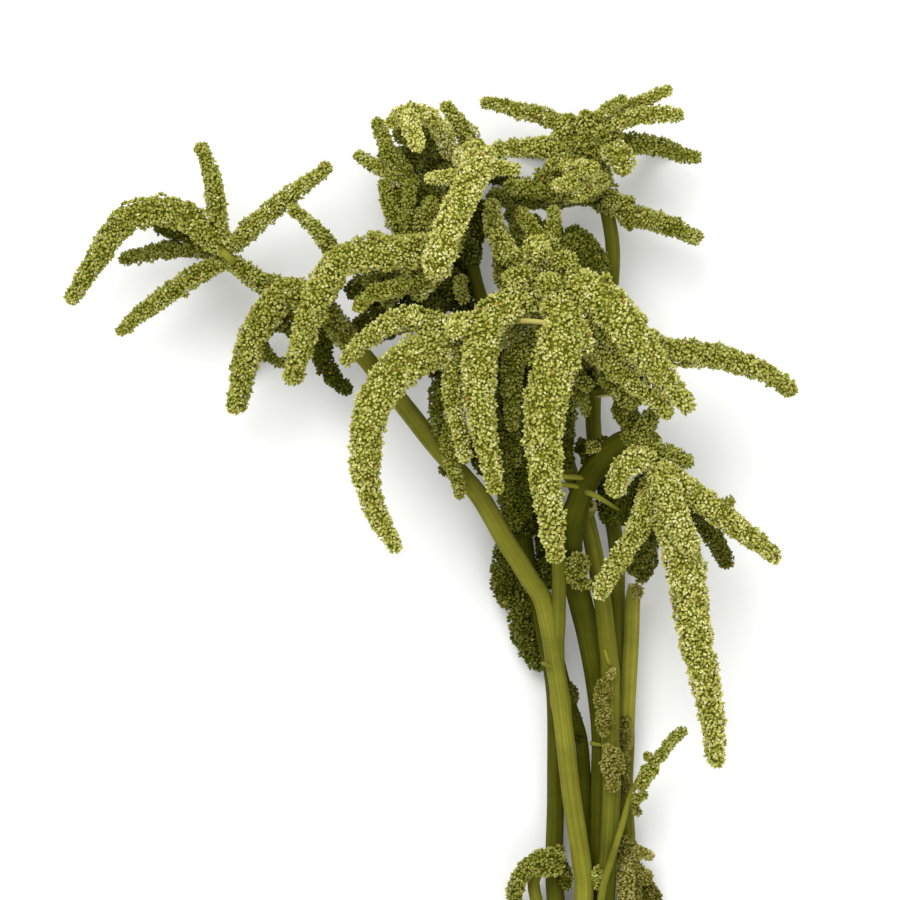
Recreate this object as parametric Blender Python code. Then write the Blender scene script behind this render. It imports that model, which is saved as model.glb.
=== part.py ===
"""A cut bunch of green amaranth, laid on a table: six stems tied near their cut ends, with their seed heads.

Metres, +Z up. The origin is on the table, under the cut end of the thickest stem, which rests there
on a small flat spot. +Y runs along the stems to the heads and +X across the bunch.
Every place below is written in millimetres: a point is (x, y, z) on the centre line of a stem or spike.
"""

import math

import bmesh
import bpy
import numpy as np
from mathutils import Vector

MM = 0.001

# Driving sizes, in millimetres
SEAT_GAP = 0.3          # clearance between a stem and the florets that clasp it
RING_STEP = 15.2        # length of spike between two rings of florets
FLORET_RELIEF = 0.2     # how far a floret stands out, as a share of the spike's radius
WIDE_SPIKE = 21.0       # a spike wider than this has eight sides, a thinner one six
WELD = 0.02             # vertices closer than this are made one after spikes are fused
STEM_STEP = 24.0        # length of stem between two rings of its surface
TIE_Y = 87.0            # where the cord binds the stems
TIE_CORD = 2.4          # thickness of the cord
TIE_TURNS = 3
TIE_PITCH = 2.1
TIE_CLEARANCE = 0.45
TIE_POINTS = 16

# The knot and the cord's two ends: points from the top of the tie, and the radius at each end
KNOT = {
    "knot": (((-5, -5, 1), (0, 0, 2.2), (5, 5, 1)), 2.4, 2.4),
    "end_left": (((0, 0, 1.5), (-9, 4, 4), (-19, 2, 1.5)), 1.2, 1.1),
    "end_right": (((0, 0, 1.5), (9, -4, 3.5), (17, -6, -1)), 1.2, 1.1),
}
KNOT_STEP = 6.0

# Taper of a spike: its width at the root as a share of its full width, where it is widest, as a
# share of its length, and how late it narrows from there to its tip
ROOT_SHARE = 0.78
FULL_WIDTH_AT = 0.3
NARROWING = 1.6
TIP_ROUNDING = 0.35     # how far the rounded tip stands past the last ring, as a share of a ring's step

# The table under the bunch, as a block with its top at z = 0: middle in x and y, and size
TABLE_MIDDLE = (-80, 270)
TABLE_SIZE = (500, 700, 50)

# Colours: base colour, roughness
FINISHES = {
    "seed_green": ((0.40, 0.43, 0.12, 1), 0.80),
    "stem_green": ((0.26, 0.28, 0.05, 1), 0.55),
    "tie_cord": ((0.55, 0.42, 0.24, 1), 0.90),
}

# Stems: centre line, and the radius at the cut end and at the head
STEMS = {
    "stem_front": (((-7, -6, 18.5), (-8.5, 87, 21.4), (-7, 130, 26), (-8.4, 147, 28.5),
        (-13.5, 180, 33), (-19.5, 230, 40), (-22, 246, 42), (-24, 260, 44), (-28.5, 280, 48),
        (-35, 290, 50), (-41, 300, 52), (-47.5, 310, 54), (-59, 330, 59), (-67, 340, 61),
        (-76, 350, 62), (-84.5, 360, 63), (-97, 376, 62), (-114, 397, 58.5),
        (-120, 404, 56.5)), 5.2, 4.6),
    "stem_left": (((-16, 8, 4.4), (-13.2, 87, 9), (-21.6, 130, 11), (-21.3, 180, 14), (-21.8, 230, 17),
        (-27, 260, 20), (-31, 280, 22), (-36, 300, 25), (-38, 316, 26)), 4.6, 4.2),
    "stem_thick": (((0, -9, 5.9), (0, 12, 6.4), (-1.8, 87, 11), (1, 130, 14), (2.2, 180, 19),
        (2.6, 210, 23), (-0.5, 238, 27), (-5, 262, 31), (-9.5, 280, 34.5), (-14, 300, 40),
        (-13, 320, 46), (-6, 340, 52), (1, 350, 58), (8, 357, 63), (15, 360, 67)), 6.5, 5.8),
    "stem_middle": (((7, 10, 17.8), (3.5, 87, 22), (4, 130, 27), (6.5, 180, 32), (6, 210, 34.5),
        (6, 240, 37), (3.8, 262, 41), (1, 285, 38), (-3.5, 310, 32), (-9, 331, 33), (-15, 345, 40),
        (-19, 360, 50), (-19.5, 374, 57)), 4.8, 4.2),
    "stem_right": (((15, 4, 4.1), (9.4, 87, 9), (16, 130, 11), (14, 180, 14), (14.7, 215, 17),
        (11.3, 253, 17), (10.2, 279, 18), (9.3, 307, 20), (4, 335, 24), (-1.5, 358, 26),
        (-2.5, 378, 27), (-0.5, 398, 28), (5, 425, 30), (7.2, 455, 34), (3.5, 480, 38)), 4.5, 3.6),
    "stem_short": (((-25, 14, 3.2), (-21.4, 87, 7.6), (-32, 130, 15), (-31, 140, 18.5),
        (-26.5, 150, 22.5)), 3.4, 3.1),
    "shoot_thin": (((2, 25, 26), (-2.5, 87, 26.9), (1.5, 130, 35.5), (6, 147, 36.5), (11, 163, 36),
        (16, 180, 34), (21, 190, 34), (27, 198, 36)), 2.8, 1.2),
}

# Side branches that are fused into the stem that they grow from
BRANCHES = {
    "stem_front": [
        ("fork", ((-18, 228, 38), (-21, 250, 43), (-20.5, 275, 48), (-20.5, 300, 52.5),
            (-22, 318, 51.5), (-25, 338, 47), (-34, 372, 44), (-47, 405, 46), (-59, 430, 47),
            (-65, 452, 49)), 3.6, 3.5),
    ],
    "stem_thick": [
        ("rear_branch", ((0.5, 131, 14), (-5, 146.5, 15), (-6.5, 167, 17), (-7, 192.5, 19.5),
            (-9, 210.5, 22), (-14.5, 227, 27), (-19, 243.5, 30), (-23, 261.5, 32),
            (-26, 276.5, 32)), 3.4, 3.0),
        ("stalk_upper", ((-8, 330, 50), (-14, 340.5, 52), (-21, 341.5, 53)), 1.1, 1.0),
        ("stalk_lower", ((-9, 328, 49), (-14, 337, 51), (-20, 338.2, 52)), 1.0, 0.9),
        ("leaf_stalk", ((-8, 331, 50), (-2, 331, 56), (4, 328, 58), (11, 325, 57)), 1.2, 0.8),
    ],
    "stem_middle": [
        ("leaf_scar", ((-5.4, 322, 32), (-4.4, 325, 37), (-4.2, 327, 41)), 3.0, 3.3),
    ],
    "stem_right": [
        ("pruned_shoot", ((14.3, 203, 16.5), (15, 225, 19.5), (16.8, 258, 23.5), (17.5, 278, 25),
            (19, 286, 27)), 4.2, 3.8),
    ],
}

# Seed heads: the spikes of each head, as (centre line from root to tip, full width, width at the tip
# as a share of it). The first one is the head's own axis, clad in florets, on the end of its stem.
HEADS = {
    "head_left": [
        (((-118, 401, 57), (-128, 412, 55), (-140, 427, 53), (-155, 435, 52),
          (-169, 439, 51), (-187, 451, 50)), 14, 0.7),
        (((-185.5, 453.5, 52), (-200, 467, 60), (-214, 474, 62), (-225, 474.5, 61),
          (-236, 471.5, 58), (-244.5, 462.5, 54), (-250, 454.5, 50), (-255.5, 446.5, 46),
          (-261.5, 438, 40), (-267.5, 429, 34)), 16.3, 0.5),
        (((-189.5, 458, 52), (-191.5, 470, 58), (-192, 480, 62), (-193.5, 490, 64),
          (-196.5, 499.5, 65), (-201, 508.5, 66)), 11.5, 0.6),
        (((-189.5, 455.5, 46), (-206, 457, 36), (-221.5, 456, 30), (-232, 453.5, 27),
          (-243, 451.5, 24)), 11, 0.6),
        (((-185.5, 451.5, 50), (-194.5, 447, 50), (-202.5, 443, 50), (-213.5, 435.5, 48),
          (-224.5, 428, 44), (-234.5, 420.5, 40), (-242.5, 413, 37)), 11.5, 0.6),
        (((-185.5, 455.5, 50), (-178.5, 462.5, 54), (-171, 469, 58), (-162.5, 476.5, 60),
          (-152.5, 484, 62), (-142.5, 491.5, 63), (-134.5, 498, 64)), 11.5, 0.6),
        (((-188, 453.5, 46), (-204, 469.5, 30), (-223, 476.5, 8), (-238.5, 476.5, 1.8)), 11, 0.5),
        (((-137, 428.5, 54), (-155, 434, 58), (-166, 424, 60), (-173, 412.5, 58),
          (-176.5, 402.5, 54), (-179, 392.5, 48), (-181.5, 382.5, 42), (-184.5, 373.5, 37)), 17, 0.6),
        (((-172, 412, 56), (-166, 402, 44), (-157, 398, 40)), 8, 0.7),
        (((-137, 430, 56), (-131, 446, 60), (-137.5, 459.5, 70), (-145.5, 468.5, 72),
          (-155.5, 476.5, 73)), 10.5, 0.6),
        (((-128, 419, 54), (-137.5, 413, 46), (-140, 404.5, 38), (-137.5, 396.5, 32),
          (-131.5, 389, 29), (-124.5, 384, 27)), 12.5, 0.6),
        (((-150.5, 433, 50), (-170, 416, 26), (-177, 401, 6), (-181, 388, 1.8)), 12, 0.5),
        (((-189.5, 455.5, 44), (-206, 462, 38), (-219, 466, 34), (-225, 468, 33)), 9, 0.7),
    ],
    "head_rear": [
        (((-64, 446, 49), (-69, 465, 51), (-74, 483, 54), (-76.5, 500, 57)), 15, 0.7),
        (((-75, 501, 57), (-77, 509.5, 68), (-81.5, 517, 80), (-89.5, 522, 90),
          (-98, 522, 92), (-103, 518, 91), (-105, 514, 90)), 10.5, 0.7),
        (((-94, 492, 56), (-102.5, 500.5, 52), (-107, 508, 48), (-110, 516, 45),
          (-112.5, 522.5, 44)), 10, 0.65),
        (((-90, 489.5, 54), (-99, 490.5, 54), (-106, 494.5, 50), (-112.5, 498, 46),
          (-118, 501, 42), (-123, 505, 40)), 9, 0.7),
        (((-87.5, 460, 56), (-98, 463, 58), (-102, 470, 60), (-105.5, 477.5, 61),
          (-107, 485, 61), (-107.5, 491, 60)), 10.5, 0.65),
        (((-85, 460, 60), (-96, 466, 64), (-95.5, 474.5, 70), (-95, 482, 73),
          (-94.5, 490, 72)), 8.5, 0.7),
        (((-80, 460, 62), (-88, 464.5, 66), (-86, 473.5, 74), (-83, 480.5, 80)), 12, 0.7),
        (((-74, 497, 56), (-64, 509, 57), (-68, 514.5, 59), (-72, 519.5, 61),
          (-75.5, 525, 62), (-78, 529.5, 62)), 10.5, 0.6),
        (((-70, 500, 62), (-61, 499.5, 88), (-64, 489.5, 103), (-68, 480.5, 109),
          (-72, 471.5, 113), (-76, 461.5, 115), (-79.5, 453, 114), (-81.5, 447, 109),
          (-82, 444.5, 99)), 16.5, 0.9),
        (((-68, 489.5, 104), (-77.5, 489, 106), (-88, 488.5, 104)), 8, 0.75),
        (((-70, 442.5, 60), (-69.5, 435, 63), (-68.5, 427.5, 64)), 8, 0.85),
        (((-69, 485.5, 52), (-64, 473, 48), (-64.5, 460.5, 46), (-67.5, 449.5, 46),
          (-69.5, 441.5, 46)), 16, 0.7),
        (((-71, 460, 56), (-86.5, 454.5, 78), (-99.5, 452, 88), (-113.5, 452, 92),
          (-125.5, 449.5, 94), (-134, 443, 92), (-140, 432, 88), (-145, 419.5, 83),
          (-149, 405.5, 77), (-154.5, 388, 65)), 18, 0.6),
        (((-80, 449, 60), (-90, 442.5, 74), (-100, 436, 84), (-109.5, 433.5, 90),
          (-116.5, 429.5, 92), (-122.5, 424, 90)), 11, 0.65),
        (((-77, 454, 60), (-83.5, 443.5, 69), (-89, 435.5, 73), (-93, 429.5, 72)), 13, 0.75),
        (((-72, 478, 50), (-82, 468, 26), (-92, 454, 7), (-100, 437, 1.8)), 13, 0.5),
        (((-75, 494, 52), (-62, 497, 28), (-48, 494, 7), (-33, 489, 1.8)), 13, 0.5),
        (((-76, 497, 54), (-90, 503, 26), (-100, 506, 7), (-112, 506, 1.8)), 12, 0.5),
        (((-95.5, 522, 94), (-94, 513.5, 102), (-91.5, 506.5, 106), (-89, 501.5, 106)), 10, 0.75),
        (((-75, 504.5, 54), (-85, 511, 58), (-95, 513.5, 60), (-103.5, 513, 62)), 17, 0.7),
        (((-80, 494.5, 50), (-87.5, 498.5, 45), (-97.5, 502, 42), (-104, 506, 40)), 14, 0.6),
        (((-92.5, 464.5, 50), (-100, 473, 50), (-102.5, 482, 50), (-102.5, 488, 50)), 9, 0.7),
        (((-65, 495.5, 92), (-55.5, 494.5, 96), (-46.5, 494, 95), (-40.5, 492, 92)), 9.5, 0.75),
        (((-87.5, 459.5, 70), (-104, 457.5, 82), (-111.5, 460, 88), (-116, 462, 90)), 9, 0.7),
        (((-80, 449, 56), (-92.5, 442, 60), (-107.5, 440, 62), (-119, 437.5, 60)), 12, 0.6),
        (((-76, 449, 54), (-77, 437.5, 54), (-81, 430, 52), (-87.5, 424.5, 50)), 13, 0.6),
        (((-80, 478, 54), (-90, 484.5, 52), (-99, 487.5, 50)), 16, 0.7),
        (((-77.5, 466, 56), (-89, 467, 54), (-98.5, 469.5, 52)), 14, 0.7),
        (((-75, 448, 50), (-92.5, 438, 45), (-106, 432, 40), (-117.5, 427.5, 36)), 16, 0.7),
        (((-72.5, 438, 50), (-85, 428, 46), (-102.5, 419.5, 44), (-117.5, 412.5, 42)), 17, 0.7),
        (((-67.5, 479.5, 54), (-60, 476, 52), (-54, 473.5, 50)), 11, 0.8),
    ],
    "head_top": [
        (((4, 474, 37), (2, 486, 41), (-1, 498, 45), (-4, 511, 48)), 14, 0.7),
        (((-0.5, 507.5, 48), (-8.5, 513.5, 49), (-20, 519.5, 50), (-30, 523, 50),
          (-40, 525.5, 50), (-50, 528, 49), (-60, 530.5, 48)), 9.5, 0.65),
        (((-3, 504.5, 46), (-6, 516, 60), (-7.5, 524, 68)), 15.5, 0.6),
        (((0.5, 518.5, 50), (10, 524.5, 56), (24, 530.5, 58), (30, 533.5, 58),
          (36.5, 536, 58)), 8.5, 0.7),
        (((0, 516.5, 54), (12.5, 520.5, 64), (22.5, 522, 66), (32.5, 522.5, 66),
          (42, 522, 64)), 10.5, 0.65),
        (((2.5, 507.5, 46), (15.5, 509.5, 45), (25.5, 508.5, 43), (35, 506.5, 40),
          (43.5, 503.5, 38), (52, 502, 36)), 11, 0.65),
        (((-3, 519, 60), (6, 526.5, 66), (13.5, 530.5, 68)), 8, 0.7),
        (((2, 504.5, 50), (9, 504, 60), (12, 500, 62), (9, 493, 58)), 13.5, 0.8),
        (((3.5, 481, 42), (13, 475, 42), (20.5, 472, 41), (28.5, 470.5, 39),
          (37, 467.5, 37), (46, 463.5, 33), (52.5, 461.5, 30)), 12.3, 0.65),
        (((0.5, 482.5, 44), (10.5, 480, 48), (18, 479.5, 49)), 9, 0.8),
        (((1.5, 489.5, 46), (-9, 489.5, 66), (-20, 490, 84)), 18, 0.75),
        (((-1.5, 496.5, 52), (-17, 497, 60), (-27.5, 498, 64)), 10, 0.8),
        (((-1, 489.5, 35), (-14.5, 484, 35), (-29.5, 482, 36), (-44.5, 482, 36),
          (-57, 482.5, 37)), 12, 0.8),
        (((-4.5, 496.5, 50), (-10, 495.5, 68), (-6.5, 495, 78), (-1.5, 495.5, 76)), 9.5, 0.8),
        (((-4.5, 487.5, 50), (-12.5, 485.5, 66), (-8, 485, 70), (-2, 485.5, 68)), 8, 0.8),
        (((0.5, 485, 44), (-20, 485.5, 53), (-36.5, 486, 58), (-48.5, 487, 58)), 11, 0.6),
        (((3.5, 481.5, 42), (-5.5, 481.5, 41), (-12, 482, 41)), 9, 0.8),
        (((-2.5, 506.5, 47), (-19, 507, 53), (-35, 506.5, 56), (-46, 505.5, 56),
          (-54.5, 505, 56)), 10, 0.7),
        (((-4.5, 506.5, 38), (-19, 507.5, 20), (-34, 509, 6), (-47, 509.5, 1.8)), 10, 0.5),
        (((0.5, 506, 40), (16.5, 510, 20), (29.5, 509.5, 6), (41.5, 507.5, 1.8)), 10, 0.5),
        (((10.5, 474, 42), (14.5, 469, 42), (16, 465, 41)), 6.5, 0.8),
    ],
    "head_centre": [
        (((-19.5, 367, 55), (-20, 387.5, 64), (-23, 409.5, 72), (-27.5, 431.5, 79),
          (-31.5, 447, 81), (-34.5, 456, 82)), 19, 0.45),
        (((-34.5, 447.5, 80), (-44, 450.5, 80), (-50, 457.5, 78), (-53, 466.5, 73),
          (-54, 474, 67), (-53.5, 479.5, 63)), 13, 0.6),
        (((-27.5, 444.5, 70), (-31.5, 460, 64), (-37, 472.5, 58)), 14, 0.8),
        (((-27.5, 446, 66), (-24.5, 460, 58), (-25, 470.5, 54)), 15, 0.8),
        (((-26.5, 446.5, 77), (-24.5, 457, 75), (-23.5, 468.5, 72), (-23, 477, 68)), 9, 0.75),
        (((-28, 450.5, 79), (-32, 460.5, 77), (-36.5, 468.5, 72), (-41, 475, 67)), 10.5, 0.7),
        (((-30, 447, 82), (-32.5, 453.5, 98), (-33.5, 459, 106)), 15, 0.7),
        (((-27.5, 442, 82), (-19.5, 447.5, 96), (-12, 447.5, 100)), 14, 0.7),
        (((-29, 439.5, 82), (-40.5, 440, 96), (-48.5, 437, 99)), 15, 0.7),
        (((-27, 432.5, 82), (-26.5, 436, 98), (-26.5, 438.5, 108)), 16, 0.7),
        (((-24.5, 436.5, 84), (-19.5, 423, 101), (-20.5, 408, 110), (-24.5, 393, 113),
          (-28, 378.5, 112.5), (-29, 364, 110), (-28.5, 349, 107), (-27, 334.5, 103),
          (-25, 320.5, 98), (-23.5, 308, 94), (-22, 299, 91)), 22, 0.36),
        (((-28, 429.5, 84), (-48, 425, 101), (-57.5, 417, 108), (-60, 404, 110),
          (-60.5, 389.5, 109), (-60, 377, 108), (-58.5, 365, 106), (-56, 352.5, 103),
          (-53.5, 341, 100), (-51.5, 333, 97)), 19, 0.45),
        (((-28, 429.5, 80), (-48, 420.5, 86), (-61, 417, 96), (-70, 416, 106),
          (-71.5, 415.5, 116)), 15.5, 0.85),
        (((-28, 427, 78), (-50, 412, 82), (-67.5, 409.5, 86), (-80, 407, 90),
          (-92.5, 401, 97), (-101, 394.5, 102), (-108, 385.5, 106), (-113, 377, 107),
          (-115, 367.5, 106), (-116.5, 357.5, 104), (-116.5, 350, 102), (-116, 340, 97),
          (-113.5, 330.5, 91), (-109.5, 320.5, 86), (-104.5, 310.5, 80.5), (-100.5, 305, 77)), 22, 0.36),
        (((-65, 415.5, 86), (-80, 416, 90), (-92.5, 420, 91), (-100.5, 419.5, 91),
          (-109.5, 414.5, 89), (-118, 408.5, 86), (-124.5, 402, 83), (-128.5, 397.5, 80)), 14, 0.5),
        (((-23, 418.5, 78), (-50, 410.5, 86), (-66, 403.5, 90), (-73, 392, 94),
          (-73.5, 380.5, 93), (-71.5, 370, 92), (-69, 359, 90), (-67, 348, 87)), 13.5, 0.5),
        (((-23, 414.5, 76), (-55, 397, 79), (-72, 380, 78), (-75.5, 365, 77),
          (-75, 352.5, 75), (-71.5, 341, 73), (-69.5, 330.5, 71)), 12, 0.5),
        (((-62.5, 403.5, 80), (-74, 396.5, 80), (-79.5, 387.5, 79), (-81, 379, 78),
          (-81.5, 370, 76), (-80, 361, 73)), 11, 0.6),
        (((-24, 412, 76), (-42, 402, 88), (-44.5, 385, 88), (-44, 364, 85)), 13, 0.5),
        (((-22, 404, 72), (-42, 392, 74), (-43, 370, 72), (-43, 346, 66)), 12, 0.6),
        (((-28, 440, 84), (-6, 433, 100), (6.5, 422, 107), (17.5, 407.5, 107),
          (28.5, 393, 103), (38, 381, 98), (44.5, 375, 94)), 21.5, 0.42),
        (((-24, 428, 82), (-2, 422, 96), (13, 406, 98), (28, 387, 92)), 18.5, 0.5),
        (((-23, 417, 76), (-5.5, 406.5, 87), (7, 395.5, 92), (20, 385, 94), (29, 377, 93),
          (34, 370.5, 91)), 14, 0.6),
        (((-23, 417, 76), (9, 409.5, 84), (31.5, 404, 84), (49, 402.5, 80),
          (61.5, 400.5, 76), (74.5, 396.5, 70), (86, 391.5, 62), (93, 387.5, 54),
          (97.5, 384.5, 46)), 15.5, 0.55),
        (((6, 420, 100), (14.5, 420, 107), (22, 417.5, 108)), 8.5, 0.8),
        (((-22, 397, 68), (-14, 390, 70), (-9.5, 382, 70), (-7.5, 376, 68),
          (-7.5, 371.5, 66)), 8, 0.7),
        (((-21, 406, 72), (-4, 403, 76), (8, 397, 78), (15, 385, 76)), 13, 0.6),
        (((-21, 402, 70), (-8, 401, 72), (1, 396, 70)), 12, 0.6),
        (((-20.5, 437, 80), (-4, 443.5, 72), (-4.5, 453.5, 66), (-10.5, 460.5, 62),
          (-16, 466, 58)), 15.5, 0.6),
        (((-25, 430, 74), (-33, 415, 46), (-40, 393, 12), (-45, 373, 1.8)), 13, 0.5),
        (((-21, 405, 72), (-15.5, 396.5, 76), (-10.5, 390, 78), (-4.5, 384.5, 78)), 11, 0.6),
        (((-22, 418, 100), (-14, 416, 110), (-9, 409, 110), (-8.5, 403, 104)), 10.5, 0.7),
        (((18.5, 410, 104), (24, 412, 106), (28, 413, 105)), 6.5, 0.8),
        (((5, 407, 90), (13, 398.5, 88), (19, 390.5, 86)), 11, 0.7),
        (((-27.5, 423.5, 70), (-43.5, 405, 72), (-47, 385, 72), (-48.5, 365, 70),
          (-48, 347.5, 66), (-46, 330, 58), (-42.5, 315, 50)), 13, 0.7),
        (((-25, 420, 70), (-36, 392.5, 72), (-38.5, 367.5, 68), (-39.5, 342.5, 60),
          (-38, 320, 52)), 14, 0.7),
        (((-67.5, 404.5, 78), (-79, 396.5, 80), (-85.5, 391, 80)), 10, 0.8),
        (((-20, 392.5, 66), (-17, 375, 62), (-16.5, 360, 58), (-17, 344, 54)), 9, 0.8),
    ],
    "head_right": [
        (((11, 358.5, 65), (18, 360, 69), (25, 354, 74), (30.5, 344.5, 77.4)), 15, 0.8),
        (((27, 350, 74), (33, 326, 78), (40, 305.5, 75), (44, 285.5, 71), (46, 270, 66),
          (49, 255, 61), (52.5, 240, 55), (56, 224.5, 49), (58, 209, 43), (59.5, 195, 37)), 18.5, 0.5),
        (((27.5, 348, 80), (32.5, 335, 89), (36.5, 323, 92), (42, 311, 90), (45.5, 304, 86)), 15, 0.75),
        (((25.5, 349, 78), (36.5, 340, 80), (49, 331, 80), (60, 322.5, 78), (70, 315, 74),
          (80, 308, 69), (89, 299.5, 62)), 14.5, 0.6),
        (((57, 325.5, 79), (62.5, 329, 82), (66, 331, 82)), 7, 0.9),
        (((32, 340, 70), (45, 327.5, 62), (54, 316, 56), (60.5, 305.5, 50), (65.5, 296, 45)), 12, 0.72),
        (((19.5, 354, 70), (29.5, 354, 72), (38.5, 352, 70), (46, 347.5, 66)), 10, 0.75),
        (((27, 350, 74), (19.5, 350.5, 82), (13.5, 348.5, 87), (8.5, 341.5, 88),
          (5.5, 331.5, 84)), 13.5, 0.7),
        (((27, 347.5, 74), (23.5, 332.5, 78), (20, 320, 78), (14.5, 309, 76),
          (8.5, 299.5, 73), (2.5, 289.5, 69), (-1, 280.5, 65)), 12.5, 0.7),
        (((25.5, 342.5, 70), (21.5, 327.5, 62), (20, 315, 55), (24, 305, 49),
          (23.5, 298.5, 47)), 11.5, 0.8),
        (((20, 359, 70), (24, 370, 74), (28.5, 374, 74)), 12, 0.7),
        (((18.5, 358, 68), (16, 368, 60), (13, 379, 52)), 12, 0.7),
        (((27.5, 344, 70), (41, 335, 38), (52.5, 328.5, 11), (60, 324, 1.8)), 11, 0.5),
        (((20, 356, 66), (25.5, 360, 68), (30, 360, 68)), 10, 0.8),
        (((18, 368, 60), (12, 373, 62), (6.5, 375, 62)), 5.5, 0.9),
        (((6, 357, 58), (-1, 356, 56), (-7, 354, 55)), 10, 0.8),
        (((27.5, 342.5, 66), (20, 335, 60), (14, 327, 56), (11, 317, 54)), 13, 0.7),
        (((22.5, 330, 60), (13.5, 324, 52), (5, 321, 48), (1, 322, 46)), 10.5, 0.8),
    ],
    "head_back": [
        (((-37.5, 308, 26), (-39, 328, 27), (-39, 352, 25)), 14, 0.5),
        (((-35.5, 323, 26), (-46, 312, 22), (-49, 301.5, 17), (-46.5, 292.5, 13)), 13, 0.6),
        (((-29.5, 299, 22), (-35, 284, 16), (-41, 272, 13), (-38, 260, 11),
          (-32, 250.5, 9.5), (-27.5, 243, 9)), 13, 0.6),
        (((-38, 332, 27), (-28, 318, 24), (-26, 300, 20), (-24, 284, 17)), 12.5, 0.5),
        (((-39, 340, 26), (-24, 348, 24), (-13, 355, 22)), 12, 0.5),
        (((-39, 338, 26), (-54, 346, 17), (-64, 356, 6), (-74, 368, 1.8)), 13, 0.5),
        (((-39, 346, 25), (-40, 362, 20), (-44, 378, 30)), 13, 0.5),
    ],
    "head_low": [
        (((-18, 143, 25), (-26.5, 143.5, 28), (-34.5, 144, 28), (-40, 138, 24),
          (-42, 130.5, 18), (-42.5, 120.5, 10), (-42.5, 106.5, 1.6)), 10.2, 0.4),
        (((-18, 149, 25), (-25, 150, 29), (-31.5, 149, 31), (-37.5, 145, 29)), 8.8, 0.7),
        (((-24, 147, 24), (-17, 142, 21), (-15.5, 131, 20)), 8.4, 0.6),
        (((-24, 147, 24), (-20, 152, 24.5), (-17, 153, 23)), 7, 0.8),
    ],
    "tuft_right": [
        (((15, 159, 18), (15.5, 147, 20), (17.5, 134, 19), (18.5, 118.5, 14)), 11.5, 0.6),
        (((16.5, 152, 20), (23, 150, 25), (28.5, 149, 27.5)), 7, 0.85),
        (((17, 143, 20), (23, 139, 22.5), (27.5, 136.5, 22)), 9.5, 0.85),
        (((13.5, 149, 21), (14, 137.5, 27), (14.5, 124.5, 28), (16, 112.5, 22)), 10.5, 0.6),
        (((22.5, 136, 17), (28, 125, 9), (31, 108, 1.4)), 12, 0.5),
    ],
    "tuft_shoot": [
        (((27, 195.5, 36), (33, 203.5, 38), (38.5, 210.5, 39), (44.5, 214.5, 39.5)), 7.2, 0.85),
        (((29, 196.5, 36), (25, 200, 38), (22.5, 202, 39)), 6, 0.85),
        (((23.5, 190.5, 35), (27.5, 193.5, 37), (30.5, 193.5, 38)), 8.5, 0.8),
        (((28.5, 197.5, 36), (32, 201, 37), (34.5, 200.5, 37)), 6, 0.8),
    ],
    "tuft_shoot_low": [
        (((16.5, 177.5, 34), (21, 180, 36), (25, 181, 37)), 6.2, 0.9),
        (((16.5, 179.5, 34), (19, 174.5, 36), (19.5, 170, 36.5)), 4.8, 0.8),
    ],
    "tuft_thick": [
        (((-15.5, 289.5, 46), (-12.5, 296, 51), (-10.5, 302.5, 52)), 11.5, 0.85),
        (((-13.5, 289.5, 46), (-7.5, 287.5, 49), (-2.5, 288.5, 49)), 6.5, 0.8),
    ],
    "tuft_fork": [
        (((-67, 344, 58), (-74.5, 344, 53), (-80.5, 346, 50)), 8, 0.7),
    ],
    "crust_middle": [
        (((6, 247.5, 45), (5, 234, 43), (4.5, 216.5, 40.5), (6, 198.5, 38.5),
          (6.5, 182.5, 37)), 9.5, 0.7),
    ],
    "crust_right": [
        (((13, 230.5, 22), (13, 215.5, 21), (13.5, 195, 20), (13.5, 177, 18)), 8.5, 0.7),
    ],
    "crust_rear": [
        (((-16.5, 242.5, 29), (-13, 228.5, 27), (-10, 214, 24), (-8.5, 204, 22)), 8, 0.7),
    ],
}


def smooth_line(points, step):
    """Points every step or so along the curve through the given ones (a Catmull-Rom spline)."""
    knots = np.array(points, float)
    padded = np.vstack([2 * knots[0] - knots[1], knots, 2 * knots[-1] - knots[-2]])
    dense = []
    for p0, p1, p2, p3 in zip(padded, padded[1:], padded[2:], padded[3:]):
        for t in np.arange(0, 1, 0.05):
            dense.append(0.5 * (2 * p1 + (p2 - p0) * t + (2 * p0 - 5 * p1 + 4 * p2 - p3) * t ** 2
                                + (3 * p1 - p0 - 3 * p2 + p3) * t ** 3))
    dense = np.array(dense + [knots[-1]])
    run = np.concatenate([[0], np.cumsum(np.linalg.norm(np.diff(dense, axis=0), axis=1))])
    count = max(3, round(run[-1] / step) + 1)
    stations = np.linspace(0, run[-1], count)
    return np.column_stack([np.interp(stations, run, dense[:, axis]) for axis in range(3)])


def cross_frames(line):
    """Two unit vectors across the line at each of its points, which turn as little as they can."""
    along = np.gradient(line, axis=0)
    along /= np.linalg.norm(along, axis=1)[:, None]
    normal = np.cross(along[0], (0.31, 0.17, 0.93))
    sides = []
    for direction in along:
        normal = normal - direction * normal.dot(direction)
        normal /= np.linalg.norm(normal)
        sides.append((normal, np.cross(direction, normal)))
    return sides


def taper(share, tip):
    """Radius of a spike at a share of its length, as a share of its full radius: swells, then narrows."""
    swell = ROOT_SHARE + (1 - ROOT_SHARE) * math.sin(math.pi / 2 * min(share / FULL_WIDTH_AT, 1))
    beyond = max(0.0, share - FULL_WIDTH_AT) / (1 - FULL_WIDTH_AT)
    return swell * (1 - (1 - tip) * beyond ** NARROWING)


def link(obj, material):
    """Puts a new object in the bunch's collection, with its material."""
    bunch.objects.link(obj)
    obj.data.materials.clear()
    obj.data.materials.append(bpy.data.materials[material])
    return obj


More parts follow.
